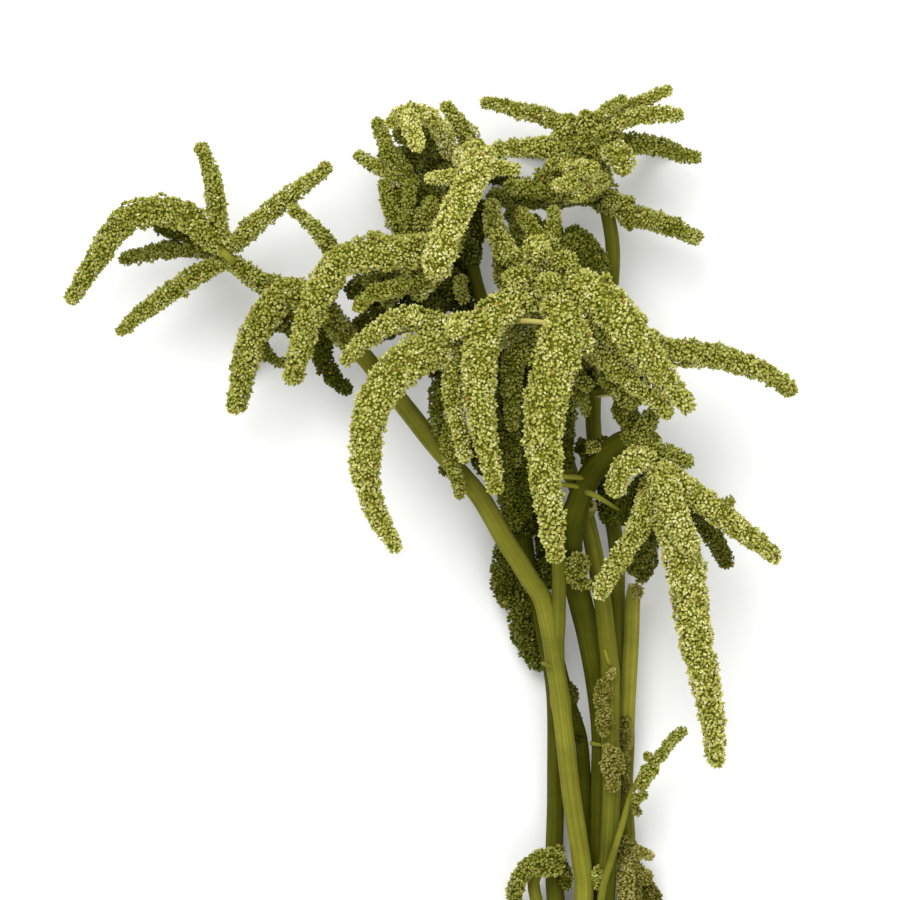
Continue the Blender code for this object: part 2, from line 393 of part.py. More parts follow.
def spike(name, points, width, tip):
    """A spike of florets: a UV sphere whose rings are strung along the centre line, with every other
    vertex of its surface raised as a floret."""
    line = smooth_line(points, RING_STEP)
    frames = cross_frames(line)
    rings = len(line)
    sides = 8 if width > WIDE_SPIKE else 6
    bm = bmesh.new()
    bmesh.ops.create_uvsphere(bm, u_segments=sides, v_segments=rings + 1, radius=1)
    for vertex in bm.verts:
        latitude = math.acos(max(-1.0, min(1.0, vertex.co.z))) / math.pi
        ring = round(latitude * (rings + 1))
        at = min(max(ring - 1, 0), rings - 1)
        if ring in (0, rings + 1):
            end = line[at] + (line[at] - line[at - 1]) * TIP_ROUNDING if ring else line[0]
            vertex.co = Vector(end) * MM
            continue
        angle = math.atan2(vertex.co.y, vertex.co.x)
        side = round(angle / (2 * math.pi) * sides)
        raised = 1 if (ring + side) % 2 else -1
        radius = width / 2 * taper(at / (rings - 1), tip) * (1 + FLORET_RELIEF * raised)
        across, up = frames[at]
        place = line[at] + radius * (across * math.cos(angle) + up * math.sin(angle))
        vertex.co = Vector(place) * MM
    mesh = bpy.data.meshes.new(name)
    bmesh.ops.recalc_face_normals(bm, faces=bm.faces)
    bm.to_mesh(mesh)
    bm.free()
    return link(bpy.data.objects.new(name, mesh), "seed_green")


def tube(name, points, start_radius, end_radius, grown=0.0, step=STEM_STEP, closed=False,
         material="stem_green"):
    """A round stem as a bevelled curve with filled caps, made a mesh so that it can be cut and joined."""
    line = np.array(points, float) if closed else smooth_line(points, step)
    for end, inner in ((0, 1), (-1, -2)):
        outward = line[end] - line[inner]
        line[end] += outward / np.linalg.norm(outward) * grown
    data = bpy.data.curves.new(name, "CURVE")
    data.dimensions = "3D"
    data.bevel_depth = 1.0 * MM
    data.bevel_resolution = 2 if material == "stem_green" else 1
    data.use_fill_caps = not closed
    spline = data.splines.new("POLY")
    spline.points.add(len(line) - 1)
    spline.use_cyclic_u = closed
    radii = np.linspace(start_radius, end_radius, len(line)) + grown
    for point, place, radius in zip(spline.points, line, radii):
        point.co = (*(place * MM), 1)
        point.radius = radius
    curve = bpy.data.objects.new(name, data)
    bpy.context.scene.collection.objects.link(curve)
    bpy.context.view_layer.update()
    graph = bpy.context.evaluated_depsgraph_get()
    mesh = bpy.data.meshes.new_from_object(curve.evaluated_get(graph))
    bpy.data.objects.remove(curve)
    bm = bmesh.new()
    bm.from_mesh(mesh)
    bmesh.ops.remove_doubles(bm, verts=bm.verts, dist=1e-6)
    bmesh.ops.recalc_face_normals(bm, faces=bm.faces)
    bm.to_mesh(mesh)
    bm.free()
    return link(bpy.data.objects.new(name, mesh), material)


def combine(base, others, operation):
    """One Boolean of base with a collection of the others, applied, with the others then removed."""
    tools = bpy.data.collections.new("tools")
    bpy.context.scene.collection.children.link(tools)
    for other in others:
        bunch.objects.unlink(other)
        tools.objects.link(other)
    modifier = base.modifiers.new(operation.lower(), "BOOLEAN")
    modifier.operation = operation
    modifier.operand_type = "COLLECTION"
    modifier.collection = tools
    modifier.solver = "EXACT"
    bpy.context.view_layer.update()
    graph = bpy.context.evaluated_depsgraph_get()
    old = base.data
    base.data = bpy.data.meshes.new_from_object(base.evaluated_get(graph))
    base.data.name = base.name
    base.modifiers.clear()
    bpy.data.meshes.remove(old)
    for other in others:
        bpy.data.objects.remove(other)
    bpy.data.collections.remove(tools)
    return base


def keep_body(obj):
    """Keeps the largest closed body of a fused mesh: a sealed hollow is filled, a scrap is dropped. Bodies
    that only touch along an edge count as two, so the spread stops at an edge of more than two faces."""
    bm = bmesh.new()
    bm.from_mesh(obj.data)
    bmesh.ops.remove_doubles(bm, verts=bm.verts, dist=WELD * MM)
    bmesh.ops.dissolve_degenerate(bm, dist=WELD * MM / 2, edges=bm.edges)
    bmesh.ops.triangulate(bm, faces=bm.faces)
    bodies = []
    unseen = set(bm.faces)
    while unseen:
        front = [unseen.pop()]
        body = set(front)
        while front:
            edges = {edge for face in front for edge in face.edges if len(edge.link_faces) == 2}
            reached = {other for edge in edges for other in edge.link_faces}
            front = [face for face in reached if face in unseen]
            unseen.difference_update(front)
            body.update(front)
        bodies.append(body)
    largest = max(bodies, key=len)
    bmesh.ops.delete(bm, geom=[face for face in bm.faces if face not in largest], context="FACES")
    bm.to_mesh(obj.data)
    bm.free()


def lowest(obj):
    """Height of the object's lowest vertex, in metres."""
    return min(vertex.co.z for vertex in obj.data.vertices)


def table_slab():
    """The space under the table's surface, as a block that flattens what rests there."""
    middle = (*TABLE_MIDDLE, -TABLE_SIZE[2] / 2)
    bpy.ops.mesh.primitive_cube_add(size=1, location=Vector(middle) * MM)
    slab = bpy.context.object
    slab.scale = Vector(TABLE_SIZE) * MM
    bpy.ops.object.transform_apply(location=True, rotation=False, scale=True)
    for collection in list(slab.users_collection):
        collection.objects.unlink(slab)
    bunch.objects.link(slab)
    return slab


def rest_on_table(obj):
    """Cuts a small flat spot where the object would reach under the table's surface."""
    if lowest(obj) < 0:
        combine(obj, [table_slab()], "DIFFERENCE")
    return obj


def build_stem(name):
    """A stem with the side branches that grow from it."""
    points, start_radius, end_radius = STEMS[name]
    stem = tube(name, points, start_radius, end_radius)
    branches = [tube(label, *shape, step=STEM_STEP / 2) for label, *shape in BRANCHES.get(name, [])]
    if branches:
        combine(stem, branches, "UNION")
    return rest_on_table(stem)


def grown_stems(near):
    """The stems that pass near an object, grown by the seat's clearance, to cut their places in it."""
    cutters = []
    low = np.array([min(v.co[axis] for v in near.data.vertices) for axis in range(3)]) / MM
    high = np.array([max(v.co[axis] for v in near.data.vertices) for axis in range(3)]) / MM
    shapes = [(name, *shape) for name, shape in STEMS.items()]
    steps = [STEM_STEP] * len(shapes)
    for group in BRANCHES.values():
        shapes += group
        steps += [STEM_STEP / 2] * len(group)
    for (label, points, start_radius, end_radius), step in zip(shapes, steps):
        line = smooth_line(points, step)
        margin = max(start_radius, end_radius) + 1
        if ((line > low - margin) & (line < high + margin)).all(axis=1).any():
            cutters.append(tube("seat_" + label, points, start_radius, end_radius, SEAT_GAP, step))
    return cutters


def build_head(name):
    """A head or tuft: its spikes fused, with a seat for each stem that it clasps."""
    spikes = [spike(f"{name}_{number}", *shape) for number, shape in enumerate(HEADS[name])]
    head = spikes[0]
    head.name = name
    if len(spikes) > 1:
        combine(head, spikes[1:], "UNION")
        keep_body(head)
    seats = grown_stems(head)
    if seats:
        combine(head, seats, "DIFFERENCE")
    rest_on_table(head)
    keep_body(head)
    return head


def stem_at(name, y):
    """Where a stem's centre line is at a given y, in millimetres."""
    points, start_radius, end_radius = STEMS[name]
    line = smooth_line(points, STEM_STEP)
    radii = np.linspace(start_radius, end_radius, len(line))
    first = line[: int(np.argmax(line[:, 1] > y)) + 1]
    return [np.interp(y, first[:, 1], values[: len(first)]) for values in (line[:, 0], line[:, 2], radii)]


def tie_outline(y):
    """The line of the cord round the stems at a given y: it follows the outermost stem in every direction."""
    held = [stem_at(name, y) for name in STEMS]
    outline = []
    for angle in np.linspace(0, 2 * math.pi, TIE_POINTS, endpoint=False):
        way = np.array((math.cos(angle), math.sin(angle)))
        outermost = max(held, key=lambda stem: way.dot(stem[:2]) + stem[2])
        x, z = np.array(outermost[:2]) + way * (outermost[2] + TIE_CLEARANCE + TIE_CORD / 2)
        outline.append((x, y, z))
    return outline


def build_tie():
    """Turns of cord round the stems, side by side, with a knot on top and its two ends."""
    cord = TIE_CORD / 2
    turns = []
    for turn in range(TIE_TURNS):
        y = TIE_Y + (turn - (TIE_TURNS - 1) / 2) * TIE_PITCH
        turns.append(tube(f"turn_{turn}", tie_outline(y), cord, cord, closed=True, material="tie_cord"))
    top = max(tie_outline(TIE_Y), key=lambda place: place[2])
    knot = [
        tube(label, np.array(points) + top, *radii, step=KNOT_STEP, material="tie_cord")
        for label, (points, *radii) in KNOT.items()
    ]
    turns[0].name = "tie"
    return combine(turns[0], turns[1:] + knot, "UNION")


def make_material(name, colour, roughness):
    """A plain material of one colour."""
    material = bpy.data.materials.new(name)
    material.use_nodes = True
    shader = material.node_tree.nodes["Principled BSDF"]
    shader.inputs["Base Color"].default_value = colour
    shader.inputs["Roughness"].default_value = roughness
    material.diffuse_color = colour


for old in list(bpy.data.objects):
    bpy.data.objects.remove(old)
for finish, look in FINISHES.items():
    make_material(finish, *look)
bunch = bpy.data.collections.new("amaranth_bunch")
bpy.context.scene.collection.children.link(bunch)
for stem_name in STEMS:
    build_stem(stem_name)
for head_name in HEADS:
    build_head(head_name)
build_tie()
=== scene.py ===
"""A cut bunch of green amaranth laid on a table: ribbed olive stems, drooping seed heads of many
finger-like spikes clad in small florets, and the cord that ties the stems.

Places and sizes of grown pieces are in millimetres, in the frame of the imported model: +Y along the
stems to the heads, +X across the bunch, +Z up from the table.
"""

import math

import bpy
import numpy as np
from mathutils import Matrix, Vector


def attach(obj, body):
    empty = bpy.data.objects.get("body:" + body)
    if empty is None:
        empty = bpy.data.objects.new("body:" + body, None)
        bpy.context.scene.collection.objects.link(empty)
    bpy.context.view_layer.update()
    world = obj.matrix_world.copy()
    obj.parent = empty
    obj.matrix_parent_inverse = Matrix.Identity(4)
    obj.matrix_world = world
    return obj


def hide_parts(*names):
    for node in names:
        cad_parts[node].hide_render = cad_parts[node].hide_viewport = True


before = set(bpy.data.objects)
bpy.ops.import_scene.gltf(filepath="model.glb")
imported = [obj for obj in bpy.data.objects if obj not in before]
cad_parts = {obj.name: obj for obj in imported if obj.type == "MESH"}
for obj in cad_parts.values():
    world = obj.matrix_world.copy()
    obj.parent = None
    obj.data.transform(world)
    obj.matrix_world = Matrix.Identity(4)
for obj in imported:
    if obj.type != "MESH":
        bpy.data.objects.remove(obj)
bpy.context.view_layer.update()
scene = bpy.context.scene

# The table and the studio. A plain white table top under the bunch, one large soft lamp past the
# heads, so that they shade the stems below them as in the photograph, a fill and an even sky.
TABLE_HALF = 2.5
TABLE_WHITE = (0.86, 0.86, 0.85, 1)
TABLE_ROUGHNESS = 0.9
LAMPS = {
    "key": {"place": (-0.55, 1.6, 2.2), "size": 1.6, "power": 44},
    "fill": {"place": (0.9, -0.6, 2.2), "size": 1.6, "power": 12},
}
LIT_MIDDLE = Vector((-0.08, 0.35, 0.05))
SKY_STRENGTH = 0.95

table_mesh = bpy.data.meshes.new("table_top")
corners = [(x * TABLE_HALF, y * TABLE_HALF, 0) for x, y in ((-1, -1), (1, -1), (1, 1), (-1, 1))]
table_mesh.from_pydata(corners, [], [(0, 1, 2, 3)])
table_top = bpy.data.objects.new("table_top", table_mesh)
scene.collection.objects.link(table_top)
table_paint = bpy.data.materials.new("table_white")
table_paint.use_nodes = True
table_shader = table_paint.node_tree.nodes["Principled BSDF"]
table_shader.inputs["Base Color"].default_value = TABLE_WHITE
table_shader.inputs["Roughness"].default_value = TABLE_ROUGHNESS
table_mesh.materials.append(table_paint)

for lamp_name, lamp in LAMPS.items():
    light = bpy.data.lights.new(lamp_name, "AREA")
    light.shape = "DISK"
    light.size = lamp["size"]
    light.energy = lamp["power"]
    holder = bpy.data.objects.new(lamp_name, light)
    scene.collection.objects.link(holder)
    holder.location = lamp["place"]
    holder.rotation_euler = (LIT_MIDDLE - holder.location).to_track_quat("-Z", "Y").to_euler()
sky = bpy.data.worlds.new("studio")
sky.use_nodes = True
sky.node_tree.nodes["Background"].inputs["Color"].default_value = (1, 1, 1, 1)
sky.node_tree.nodes["Background"].inputs["Strength"].default_value = SKY_STRENGTH
scene.world = sky
scene.view_settings.view_transform = "Standard"

# The camera looks straight down from 2.6 m with a long lens, as the photograph looks at the upright
# bunch from the front. Half a millimetre at the heads' middle height is one pixel of 900.
VIEW_MIDDLE = (-0.075, 0.355)
VIEW_HEIGHT = 2.6
FOCUS_HEIGHT = 0.06
VIEW_WIDTH = 0.45
SENSOR_WIDTH = 36
CLIP_END = 10

camera_data = bpy.data.cameras.new("camera")
camera_data.sensor_width = SENSOR_WIDTH
camera_data.lens = SENSOR_WIDTH * VIEW_HEIGHT / VIEW_WIDTH
camera_data.clip_end = CLIP_END
camera = bpy.data.objects.new("camera", camera_data)
scene.collection.objects.link(camera)
camera.location = (*VIEW_MIDDLE, FOCUS_HEIGHT + VIEW_HEIGHT)
scene.camera = camera

# The stems. Each is a tapering olive-green stalk with fine lengthwise ribs, pale streaks along them,
# a swelling where a leaf or branch grew, and plain cut ends with a cream rim. Branches are sunk in.
MM = 0.001
SPLINE_PARTS = 24
LEAST_STATIONS = 4
STEM_STEP = 3.4
STEM_SIDES = 36
RIB_COUNT = 9
RIB_HEIGHT = 0.022
RIB_MIDDLE = 0.6
RIB_TWIST = 0.004
# Slow waves: height as a share of the radius, waves round the stalk, radians they turn in a millimetre
SLOW_WAVES = ((0.03, 2, 0.021), (0.015, 3, -0.05))
NODE_LENGTH = 4.0
# The turned-in edge of a cut: its width, and its rise as a share of that
CUT_BEVEL = 0.5
BEVEL_RISE = 0.6
GLOSS = 0.03
# Node, centre line, radius at the cut end and at the head, tone there from dark (0) to pale (1),
# which is partly the stem's own green and partly painted shade where the heads and other stems
# shade it, and swellings as (share of the length, height as a share of the radius)
STEMS = {
    "front_stem": ("stem_front", ((-7, -6, 18.5), (-8.5, 87, 21.4), (-7, 130, 26), (-8.4, 147, 28.5),
        (-13.5, 180, 33), (-19.5, 230, 40), (-22, 246, 42), (-24, 260, 44), (-28.5, 280, 48),
        (-35, 290, 50), (-41, 300, 52), (-47.5, 310, 54), (-59, 330, 59), (-67, 340, 61), (-76, 350, 62),
        (-84.5, 360, 63), (-97, 376, 62), (-114, 397, 58.5), (-120, 404, 56.5)), 5.2, 4.6, (0.85, 0.55),
        ((0.53, 0.14),)),
    "left_stem": ("stem_left", ((-16, 8, 4.4), (-13.2, 87, 9), (-21.6, 130, 11), (-21.3, 180, 14),
        (-21.8, 230, 17), (-27, 260, 20), (-31, 280, 22), (-36, 300, 25), (-38, 316, 26)), 4.6, 4.2,
        (0.35, 0.0), ()),
    "thick_stem": ("stem_thick", ((0, -9, 5.9), (0, 12, 6.4), (-1.8, 87, 11), (1, 130, 14), (2.2, 180, 19),
        (2.6, 210, 23), (-0.5, 238, 27), (-5, 262, 31), (-9.5, 280, 34.5), (-14, 300, 40), (-13, 320, 46),
        (-6, 340, 52), (1, 350, 58), (8, 357, 63), (15, 360, 67)), 6.5, 5.8, (0.2, 0.1), ((0.86, 0.1),)),
    "middle_stem": ("stem_middle", ((7, 10, 17.8), (3.5, 87, 22), (4, 130, 27), (6.5, 180, 32),
        (6, 210, 34.5), (6, 240, 37), (3.8, 262, 41), (1, 285, 38), (-3.5, 310, 32), (-9, 331, 33),
        (-15, 345, 40), (-19, 360, 50), (-19.5, 374, 57)), 4.8, 4.2, (0.0, 0.7), ((0.62, 0.1),)),
    "right_stem": ("stem_right", ((15, 4, 4.1), (9.4, 87, 9), (16, 130, 11), (14, 180, 14), (14.7, 215, 17),
        (11.3, 253, 17), (10.2, 279, 18), (9.3, 307, 20), (4, 335, 24), (-1.5, 358, 26), (-2.5, 378, 27),
        (-0.5, 398, 28), (5, 425, 30), (7.2, 455, 34), (3.5, 480, 38)), 4.5, 3.6, (0.45, 0.3),
        ((0.5, 0.1),)),
    "short_stem": ("stem_short", ((-25, 14, 3.2), (-21.4, 87, 7.6), (-32, 130, 15), (-31, 140, 18.5),
        (-26.5, 150, 22.5)), 3.4, 3.1, (0.5, 0.6), ()),
    "thin_shoot": ("shoot_thin", ((2, 25, 26), (-2.5, 87, 26.9), (1.5, 130, 35.5), (6, 147, 36.5),
        (11, 163, 36), (16, 180, 34), (21, 190, 34), (27, 198, 36)), 2.8, 1.2, (0.4, 0.7), ()),
}
# Branches of a stem: centre line, radius at the root and at the end, tones there, partly their own
# colour and partly painted shade
BRANCHES = {
    "front_stem": [
        (((-18, 228, 38), (-21, 250, 43), (-20.5, 275, 48), (-20.5, 300, 52.5), (-22, 318, 51.5),
          (-25, 338, 47), (-34, 372, 44), (-47, 405, 46), (-59, 430, 47), (-65, 452, 49)), 3.6, 3.5,
          (0.5, 0.2)),
        (((-20.5, 245, 43.5), (-25, 246.3, 46.5), (-28.5, 248, 46.8)), 1.7, 1.0, (0.6, 0.8)),
    ],
    "thick_stem": [
        (((0.5, 131, 14), (-5, 146.5, 15), (-6.5, 167, 17), (-7, 192.5, 19.5), (-9, 210.5, 22),
          (-14.5, 227, 27), (-19, 243.5, 30), (-23, 261.5, 32), (-26, 276.5, 32)), 3.4, 3.0, (0.1, 0.0)),
        (((-8, 341, 56), (-15, 341.6, 55.5), (-22, 342, 55)), 1.5, 1.2, (0.95, 0.95)),
        (((-10, 336.5, 54.5), (-16, 337.4, 54), (-22, 338, 53.5)), 1.3, 1.1, (0.85, 0.85)),
        (((-22.5, 358, 60), (-18.5, 350, 55), (-13, 339, 48)), 2.4, 3.0, (0.6, 0.5)),
        (((-3.5, 206.5, 26), (-0.5, 206, 29), (2.5, 205.8, 31)), 1.1, 0.9, (1.0, 1.0)),
        (((-6.5, 334, 55), (-2.5, 332.3, 58.3), (4, 328.5, 59.3), (11.5, 324, 57)), 1.7, 0.7, (1.0, 0.9)),
    ],
    "middle_stem": [
        (((-5.4, 322, 32), (-4.4, 325, 37), (-4.2, 327, 41)), 3.0, 3.3, (0.6, 1.0)),
    ],
    "right_stem": [
        (((14.3, 203, 16.5), (15, 225, 19.5), (16.8, 258, 23.5), (17.5, 278, 25), (19, 286, 27)), 4.2, 3.8,
          (1.0, 1.0)),
    ],
}


def smooth_line(points, step):
    """Points every step or so on the Catmull-Rom spline through the given ones: each stretch is the
    cubic that leaves and meets its ends in the direction of their neighbours."""
    knots = np.array(points, float)
    ends = np.vstack([2 * knots[0] - knots[1], knots, 2 * knots[-1] - knots[-2]])
    p0, p1, p2, p3 = (ends[i:len(ends) - 3 + i, None] for i in range(4))
    t = np.linspace(0, 1, SPLINE_PARTS, endpoint=False)[:, None]
    curve = 0.5 * (2 * p1 + (p2 - p0) * t + (2 * p0 - 5 * p1 + 4 * p2 - p3) * t ** 2
                   + (3 * p1 - p0 - 3 * p2 + p3) * t ** 3)
    curve = np.vstack([curve.reshape(-1, 3), knots[-1]])
    run = np.concatenate([[0], np.cumsum(np.linalg.norm(np.diff(curve, axis=0), axis=1))])
    stations = np.linspace(0, run[-1], max(LEAST_STATIONS, round(run[-1] / step) + 1))
    return np.column_stack([np.interp(stations, run, curve[:, axis]) for axis in range(3)])


def axes_of(line):
    """The unit direction of a line at each point, and two unit vectors across it. The first of them
    is square to the direction in which the line as a whole turns least."""
    along = np.gradient(line, axis=0)
    along /= np.linalg.norm(along, axis=1)[:, None]
    flat = np.linalg.svd(along)[2][-1]
    first = np.cross(along, flat)
    first /= np.linalg.norm(first, axis=1)[:, None]
    return along, first, np.cross(along, first)


def spokes(first, second, sides):
    """Even angles round a line, and at each of its points the unit vectors out from it that way."""
    angle = np.linspace(0, 2 * math.pi, sides, endpoint=False)
    turned = angle[None, :, None]
    return angle, np.cos(turned) * first[:, None] + np.sin(turned) * second[:, None]


def closed_tube(rings, start, end):
    """Vertices, quads and triangles of a tube through rings of points (ring, side, xyz), closed by a
    fan at each end."""
    count, sides = rings.shape[:2]
    ring, side = np.meshgrid(np.arange(count - 1), np.arange(sides), indexing="ij")
    here, after = ring * sides + side, ring * sides + (side + 1) % sides
    walls = np.stack([here, after, after + sides, here + sides], axis=-1).reshape(-1, 4)
    last = (count - 1) * sides
    around = np.arange(sides)
    following = (around + 1) % sides
    first_fan = np.stack([around, np.full(sides, count * sides), following], axis=-1)
    last_fan = np.stack([last + around, last + following, np.full(sides, count * sides + 1)], axis=-1)
    return np.vstack([rings.reshape(-1, 3), start, end]), walls, np.vstack([first_fan, last_fan])


def make_piece(name, grown, material, slot, *nodes, smooth=True):
    """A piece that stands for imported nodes, joined from grown parts. Each part is a mesh, as an array
    of vertices and arrays of faces, and four numbers for each vertex, which the material reads as
    the colour attribute 'growth'."""
    offset, vertices, loops, sizes = 0, [], [], []
    for (points, *faces), _ in grown:
        vertices.append(points)
        for face in faces:
            loops.append((face + offset).ravel())
            sizes.append(np.full(len(face), face.shape[1]))
        offset += len(points)
    vertices = np.vstack(vertices) * MM
    vertices[:, 2] = np.maximum(vertices[:, 2], 0)
    loops, sizes = np.concatenate(loops), np.concatenate(sizes)
    mesh = bpy.data.meshes.new(name)
    mesh.vertices.add(len(vertices))
    mesh.vertices.foreach_set("co", vertices.ravel())
    mesh.loops.add(len(loops))
    mesh.loops.foreach_set("vertex_index", loops.astype(np.int32))
    mesh.polygons.add(len(sizes))
    starts = np.concatenate([[0], np.cumsum(sizes)[:-1]])
    mesh.polygons.foreach_set("loop_start", starts.astype(np.int32))
    mesh.polygons.foreach_set("use_smooth", np.full(len(sizes), smooth))
    mesh.update(calc_edges=True)
    growth = mesh.color_attributes.new("growth", "FLOAT_COLOR", "POINT")
    colours = np.vstack([numbers for _, numbers in grown])
    growth.data.foreach_set("color", colours.astype(np.float32).ravel())
    mesh.materials.append(material)
    piece = bpy.data.objects.new(name, mesh)
    scene.collection.objects.link(piece)
    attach(piece, "root")
    if nodes:
        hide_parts(*nodes)


def stalk(points, start_radius, end_radius, tones_and_shade, swellings=()):
    """A ribbed stalk: its radius runs evenly from start to end, times one plus a cosine rib and slow
    waves round it, plus a bell-shaped swelling at each node. Cut ends are turned in over a short
    bevel. Colour numbers: cut face (0 on the skin, 1 on its rim, 2 in its middle), share of the way
    round, length along the stalk in metres, tone, which is partly own colour and partly painted shade."""
    line = smooth_line(points, STEM_STEP)
    along, first, second = axes_of(line)
    share = np.linspace(0, 1, len(line))
    length = share * np.linalg.norm(line[1] - line[0]) * (len(line) - 1)
    radius = start_radius + (end_radius - start_radius) * share
    for place, height in swellings:
        radius = radius * (1 + height * np.exp(-((length - place * length[-1]) / NODE_LENGTH) ** 2))
    angle, spoke = spokes(first, second, STEM_SIDES)
    run = length[:, None]
    rib = np.abs(np.cos((angle + RIB_TWIST * run) * RIB_COUNT / 2)) - RIB_MIDDLE
    wave = sum(height * np.sin(count * angle + rate * run) for height, count, rate in SLOW_WAVES)
    wall = radius[:, None] * (1 + RIB_HEIGHT * rib + wave)
    rings = line[:, None] + wall[..., None] * spoke
    caps = [line[end] + (rings[end] - line[end]) * (1 - CUT_BEVEL / radius[end])
            + side * along[end] * CUT_BEVEL * BEVEL_RISE for end, side in ((0, -1), (-1, 1))]
    rings = np.concatenate([caps[0][None], rings, caps[1][None]])
    cut = np.zeros(rings.shape[:2])
    cut[[0, -1]] = 1
    stations = np.concatenate([[length[0]], length, [length[-1]]])[:, None] * MM
    shade = np.interp(stations, (0, length[-1] * MM), tones_and_shade)
    numbers = np.stack(np.broadcast_arrays(cut, angle / (2 * math.pi), stations, shade), axis=-1)
    ends = np.array([[2, 0, 0, tones_and_shade[0]], [2, 0, 1, tones_and_shade[1]]])
    return (closed_tube(rings, caps[0].mean(axis=0), caps[1].mean(axis=0)),
            np.vstack([numbers.reshape(-1, 4), ends]))


def adder(tree):
    """A function that adds a node to a tree. A name in small letters sets a property of the node; any
    other sets a socket, given by its name, or by its number after an underscore, to a value or to
    the output that feeds it."""
    def add(kind, **given):
        node = tree.nodes.new(kind)
        for name, value in given.items():
            if name.islower():
                setattr(node, name, value)
                continue
            socket = node.inputs[int(name[1:])] if name[0] == "_" else node.inputs[name]
            if isinstance(value, bpy.types.NodeSocket):
                tree.links.new(value, socket)
            else:
                socket.default_value = value
        return node

    return add


def new_material(name, roughness):
    """A material, the sockets of its Principled shader, and functions that add and link its nodes."""
    material = bpy.data.materials.new(name)
    material.use_nodes = True
    tree = material.node_tree
    shader = tree.nodes["Principled BSDF"].inputs
    shader["Roughness"].default_value = roughness
    shader["Specular IOR Level"].default_value = GLOSS
    return material, shader, adder(tree), tree.links.new


def new_group(name, inputs, outputs):
    """A shader group with sockets of the given names and kinds: its inputs, outputs, add and link."""
    tree = bpy.data.node_groups.new(name, "ShaderNodeTree")
    for direction, sockets in (("INPUT", inputs), ("OUTPUT", outputs)):
        for socket, kind in sockets.items():
            tree.interface.new_socket(socket, in_out=direction, socket_type="NodeSocket" + kind)
    given, result = (tree.nodes.new(kind) for kind in ("NodeGroupInput", "NodeGroupOutput"))
    return tree, given.outputs, result.inputs, adder(tree), tree.links.new


def ramp(add, factor, *stops):
    """The colour at a factor on a ramp of the given stops, each a place and a colour."""
    node = add("ShaderNodeValToRGB", Fac=factor)
    elements = node.color_ramp.elements
    while len(elements) < len(stops):
        elements.new(0.5)
    for element, (place, colour) in zip(elements, stops):
        element.position = place
        element.color = (*colour, 1)
    return node.outputs["Color"]


def mixed(add, factor, under, over, blend="MIX"):
    """One colour blended over another by a factor."""
    node = add("ShaderNodeMix", data_type="RGBA", blend_type=blend, Factor=factor, A=under, B=over)
    return node.outputs["Result"]


def fibre_streaks():
    """Group of the stems and the cord: noise drawn out along a tube by the numbers of its vertices,
    the share of the way round and the length along."""
    tree, given, result, add, link = new_group(
        "fibre_streaks", {"Growth": "Color", "Round": "Float", "Along": "Float", "Detail": "Float"},
        {"Streak": "Float"})
    numbers = add("ShaderNodeSeparateColor", Color=given["Growth"]).outputs
    round_way = add("ShaderNodeMath", operation="MULTIPLY", _0=numbers["Green"], _1=given["Round"])
    along_way = add("ShaderNodeMath", operation="MULTIPLY", _0=numbers["Blue"], _1=given["Along"])
    skin = add("ShaderNodeCombineXYZ", X=round_way.outputs[0], Y=along_way.outputs[0])
    noise = add("ShaderNodeTexNoise", Vector=skin.outputs[0], Scale=1.0, Detail=given["Detail"],
                Roughness=0.6)
    link(noise.outputs["Fac"], result["Streak"])
    return tree


def stem_material():
    """Olive stem skin: streaks that run along the stalk, mottling, a green from dark to pale by the
    stalk's tone, which is partly painted shade, and cut faces with a cream rim.
    """
    material, shader, add, link = new_material("olive_stem", 0.5)
    growth = add("ShaderNodeAttribute", attribute_name="growth").outputs
    cut = add("ShaderNodeSeparateColor", Color=growth["Color"]).outputs["Red"]
    streak = add("ShaderNodeGroup", node_tree=streaks, Growth=growth["Color"], Round=26.0, Along=9.0,
                 Detail=4.0).outputs["Streak"]
    # Dark and pale skins mixed by the stalk's tone: partly the stems' own greens and partly painted shade
    # on stems and stretches of stem that lie in the shade of the heads and of one another.
    dark = ramp(add, streak, (0.3, (0.03, 0.034, 0.0003)), (0.7, (0.054, 0.06, 0.0006)))
    pale = ramp(add, streak, (0.28, (0.16, 0.16, 0.012)), (0.5, (0.22, 0.215, 0.024)),
                (0.75, (0.31, 0.3, 0.055)))
    place = add("ShaderNodeTexCoord").outputs["Object"]
    mottle = add("ShaderNodeTexNoise", Vector=place, Scale=55.0, Detail=3.0).outputs["Fac"]
    spots = add("ShaderNodeMapRange", Value=mottle, _1=0.35, _2=0.7, _3=0.78, _4=1.12).outputs["Result"]
    skin = mixed(add, 1.0, mixed(add, growth["Alpha"], dark, pale), spots, "MULTIPLY")
    # Cut faces: a cream rim and a dark brown middle, partly the pith's own colour and partly painted shade
    # inside the cut stem.
    inward = add("ShaderNodeMath", operation="SUBTRACT", _0=cut, _1=1.0).outputs[0]
    face = ramp(add, inward, (0.0, (0.44, 0.39, 0.11)), (0.35, (0.46, 0.41, 0.19)),
                (0.62, (0.1, 0.08, 0.02)))
    link(mixed(add, cut, skin, face), shader["Base Color"])
    bump = add("ShaderNodeBump", Height=streak, Strength=0.2, Distance=0.0005)
    link(bump.outputs["Normal"], shader["Normal"])
    return material


streaks = fibre_streaks()
olive_stem = stem_material()
for stem_name, (node, *grown) in STEMS.items():
    stalks = [stalk(*grown)] + [stalk(*branch) for branch in BRANCHES.get(stem_name, ())]
    make_piece(stem_name, stalks, olive_stem, "stem_green", node)

# Bits of straw and bare twig caught between the spikes: dry cream leaf stalks, and pale ends of side
# stems that the florets leave bare. They lie on the stems and spikes that carry them.
CREAM_RIM = 1.0
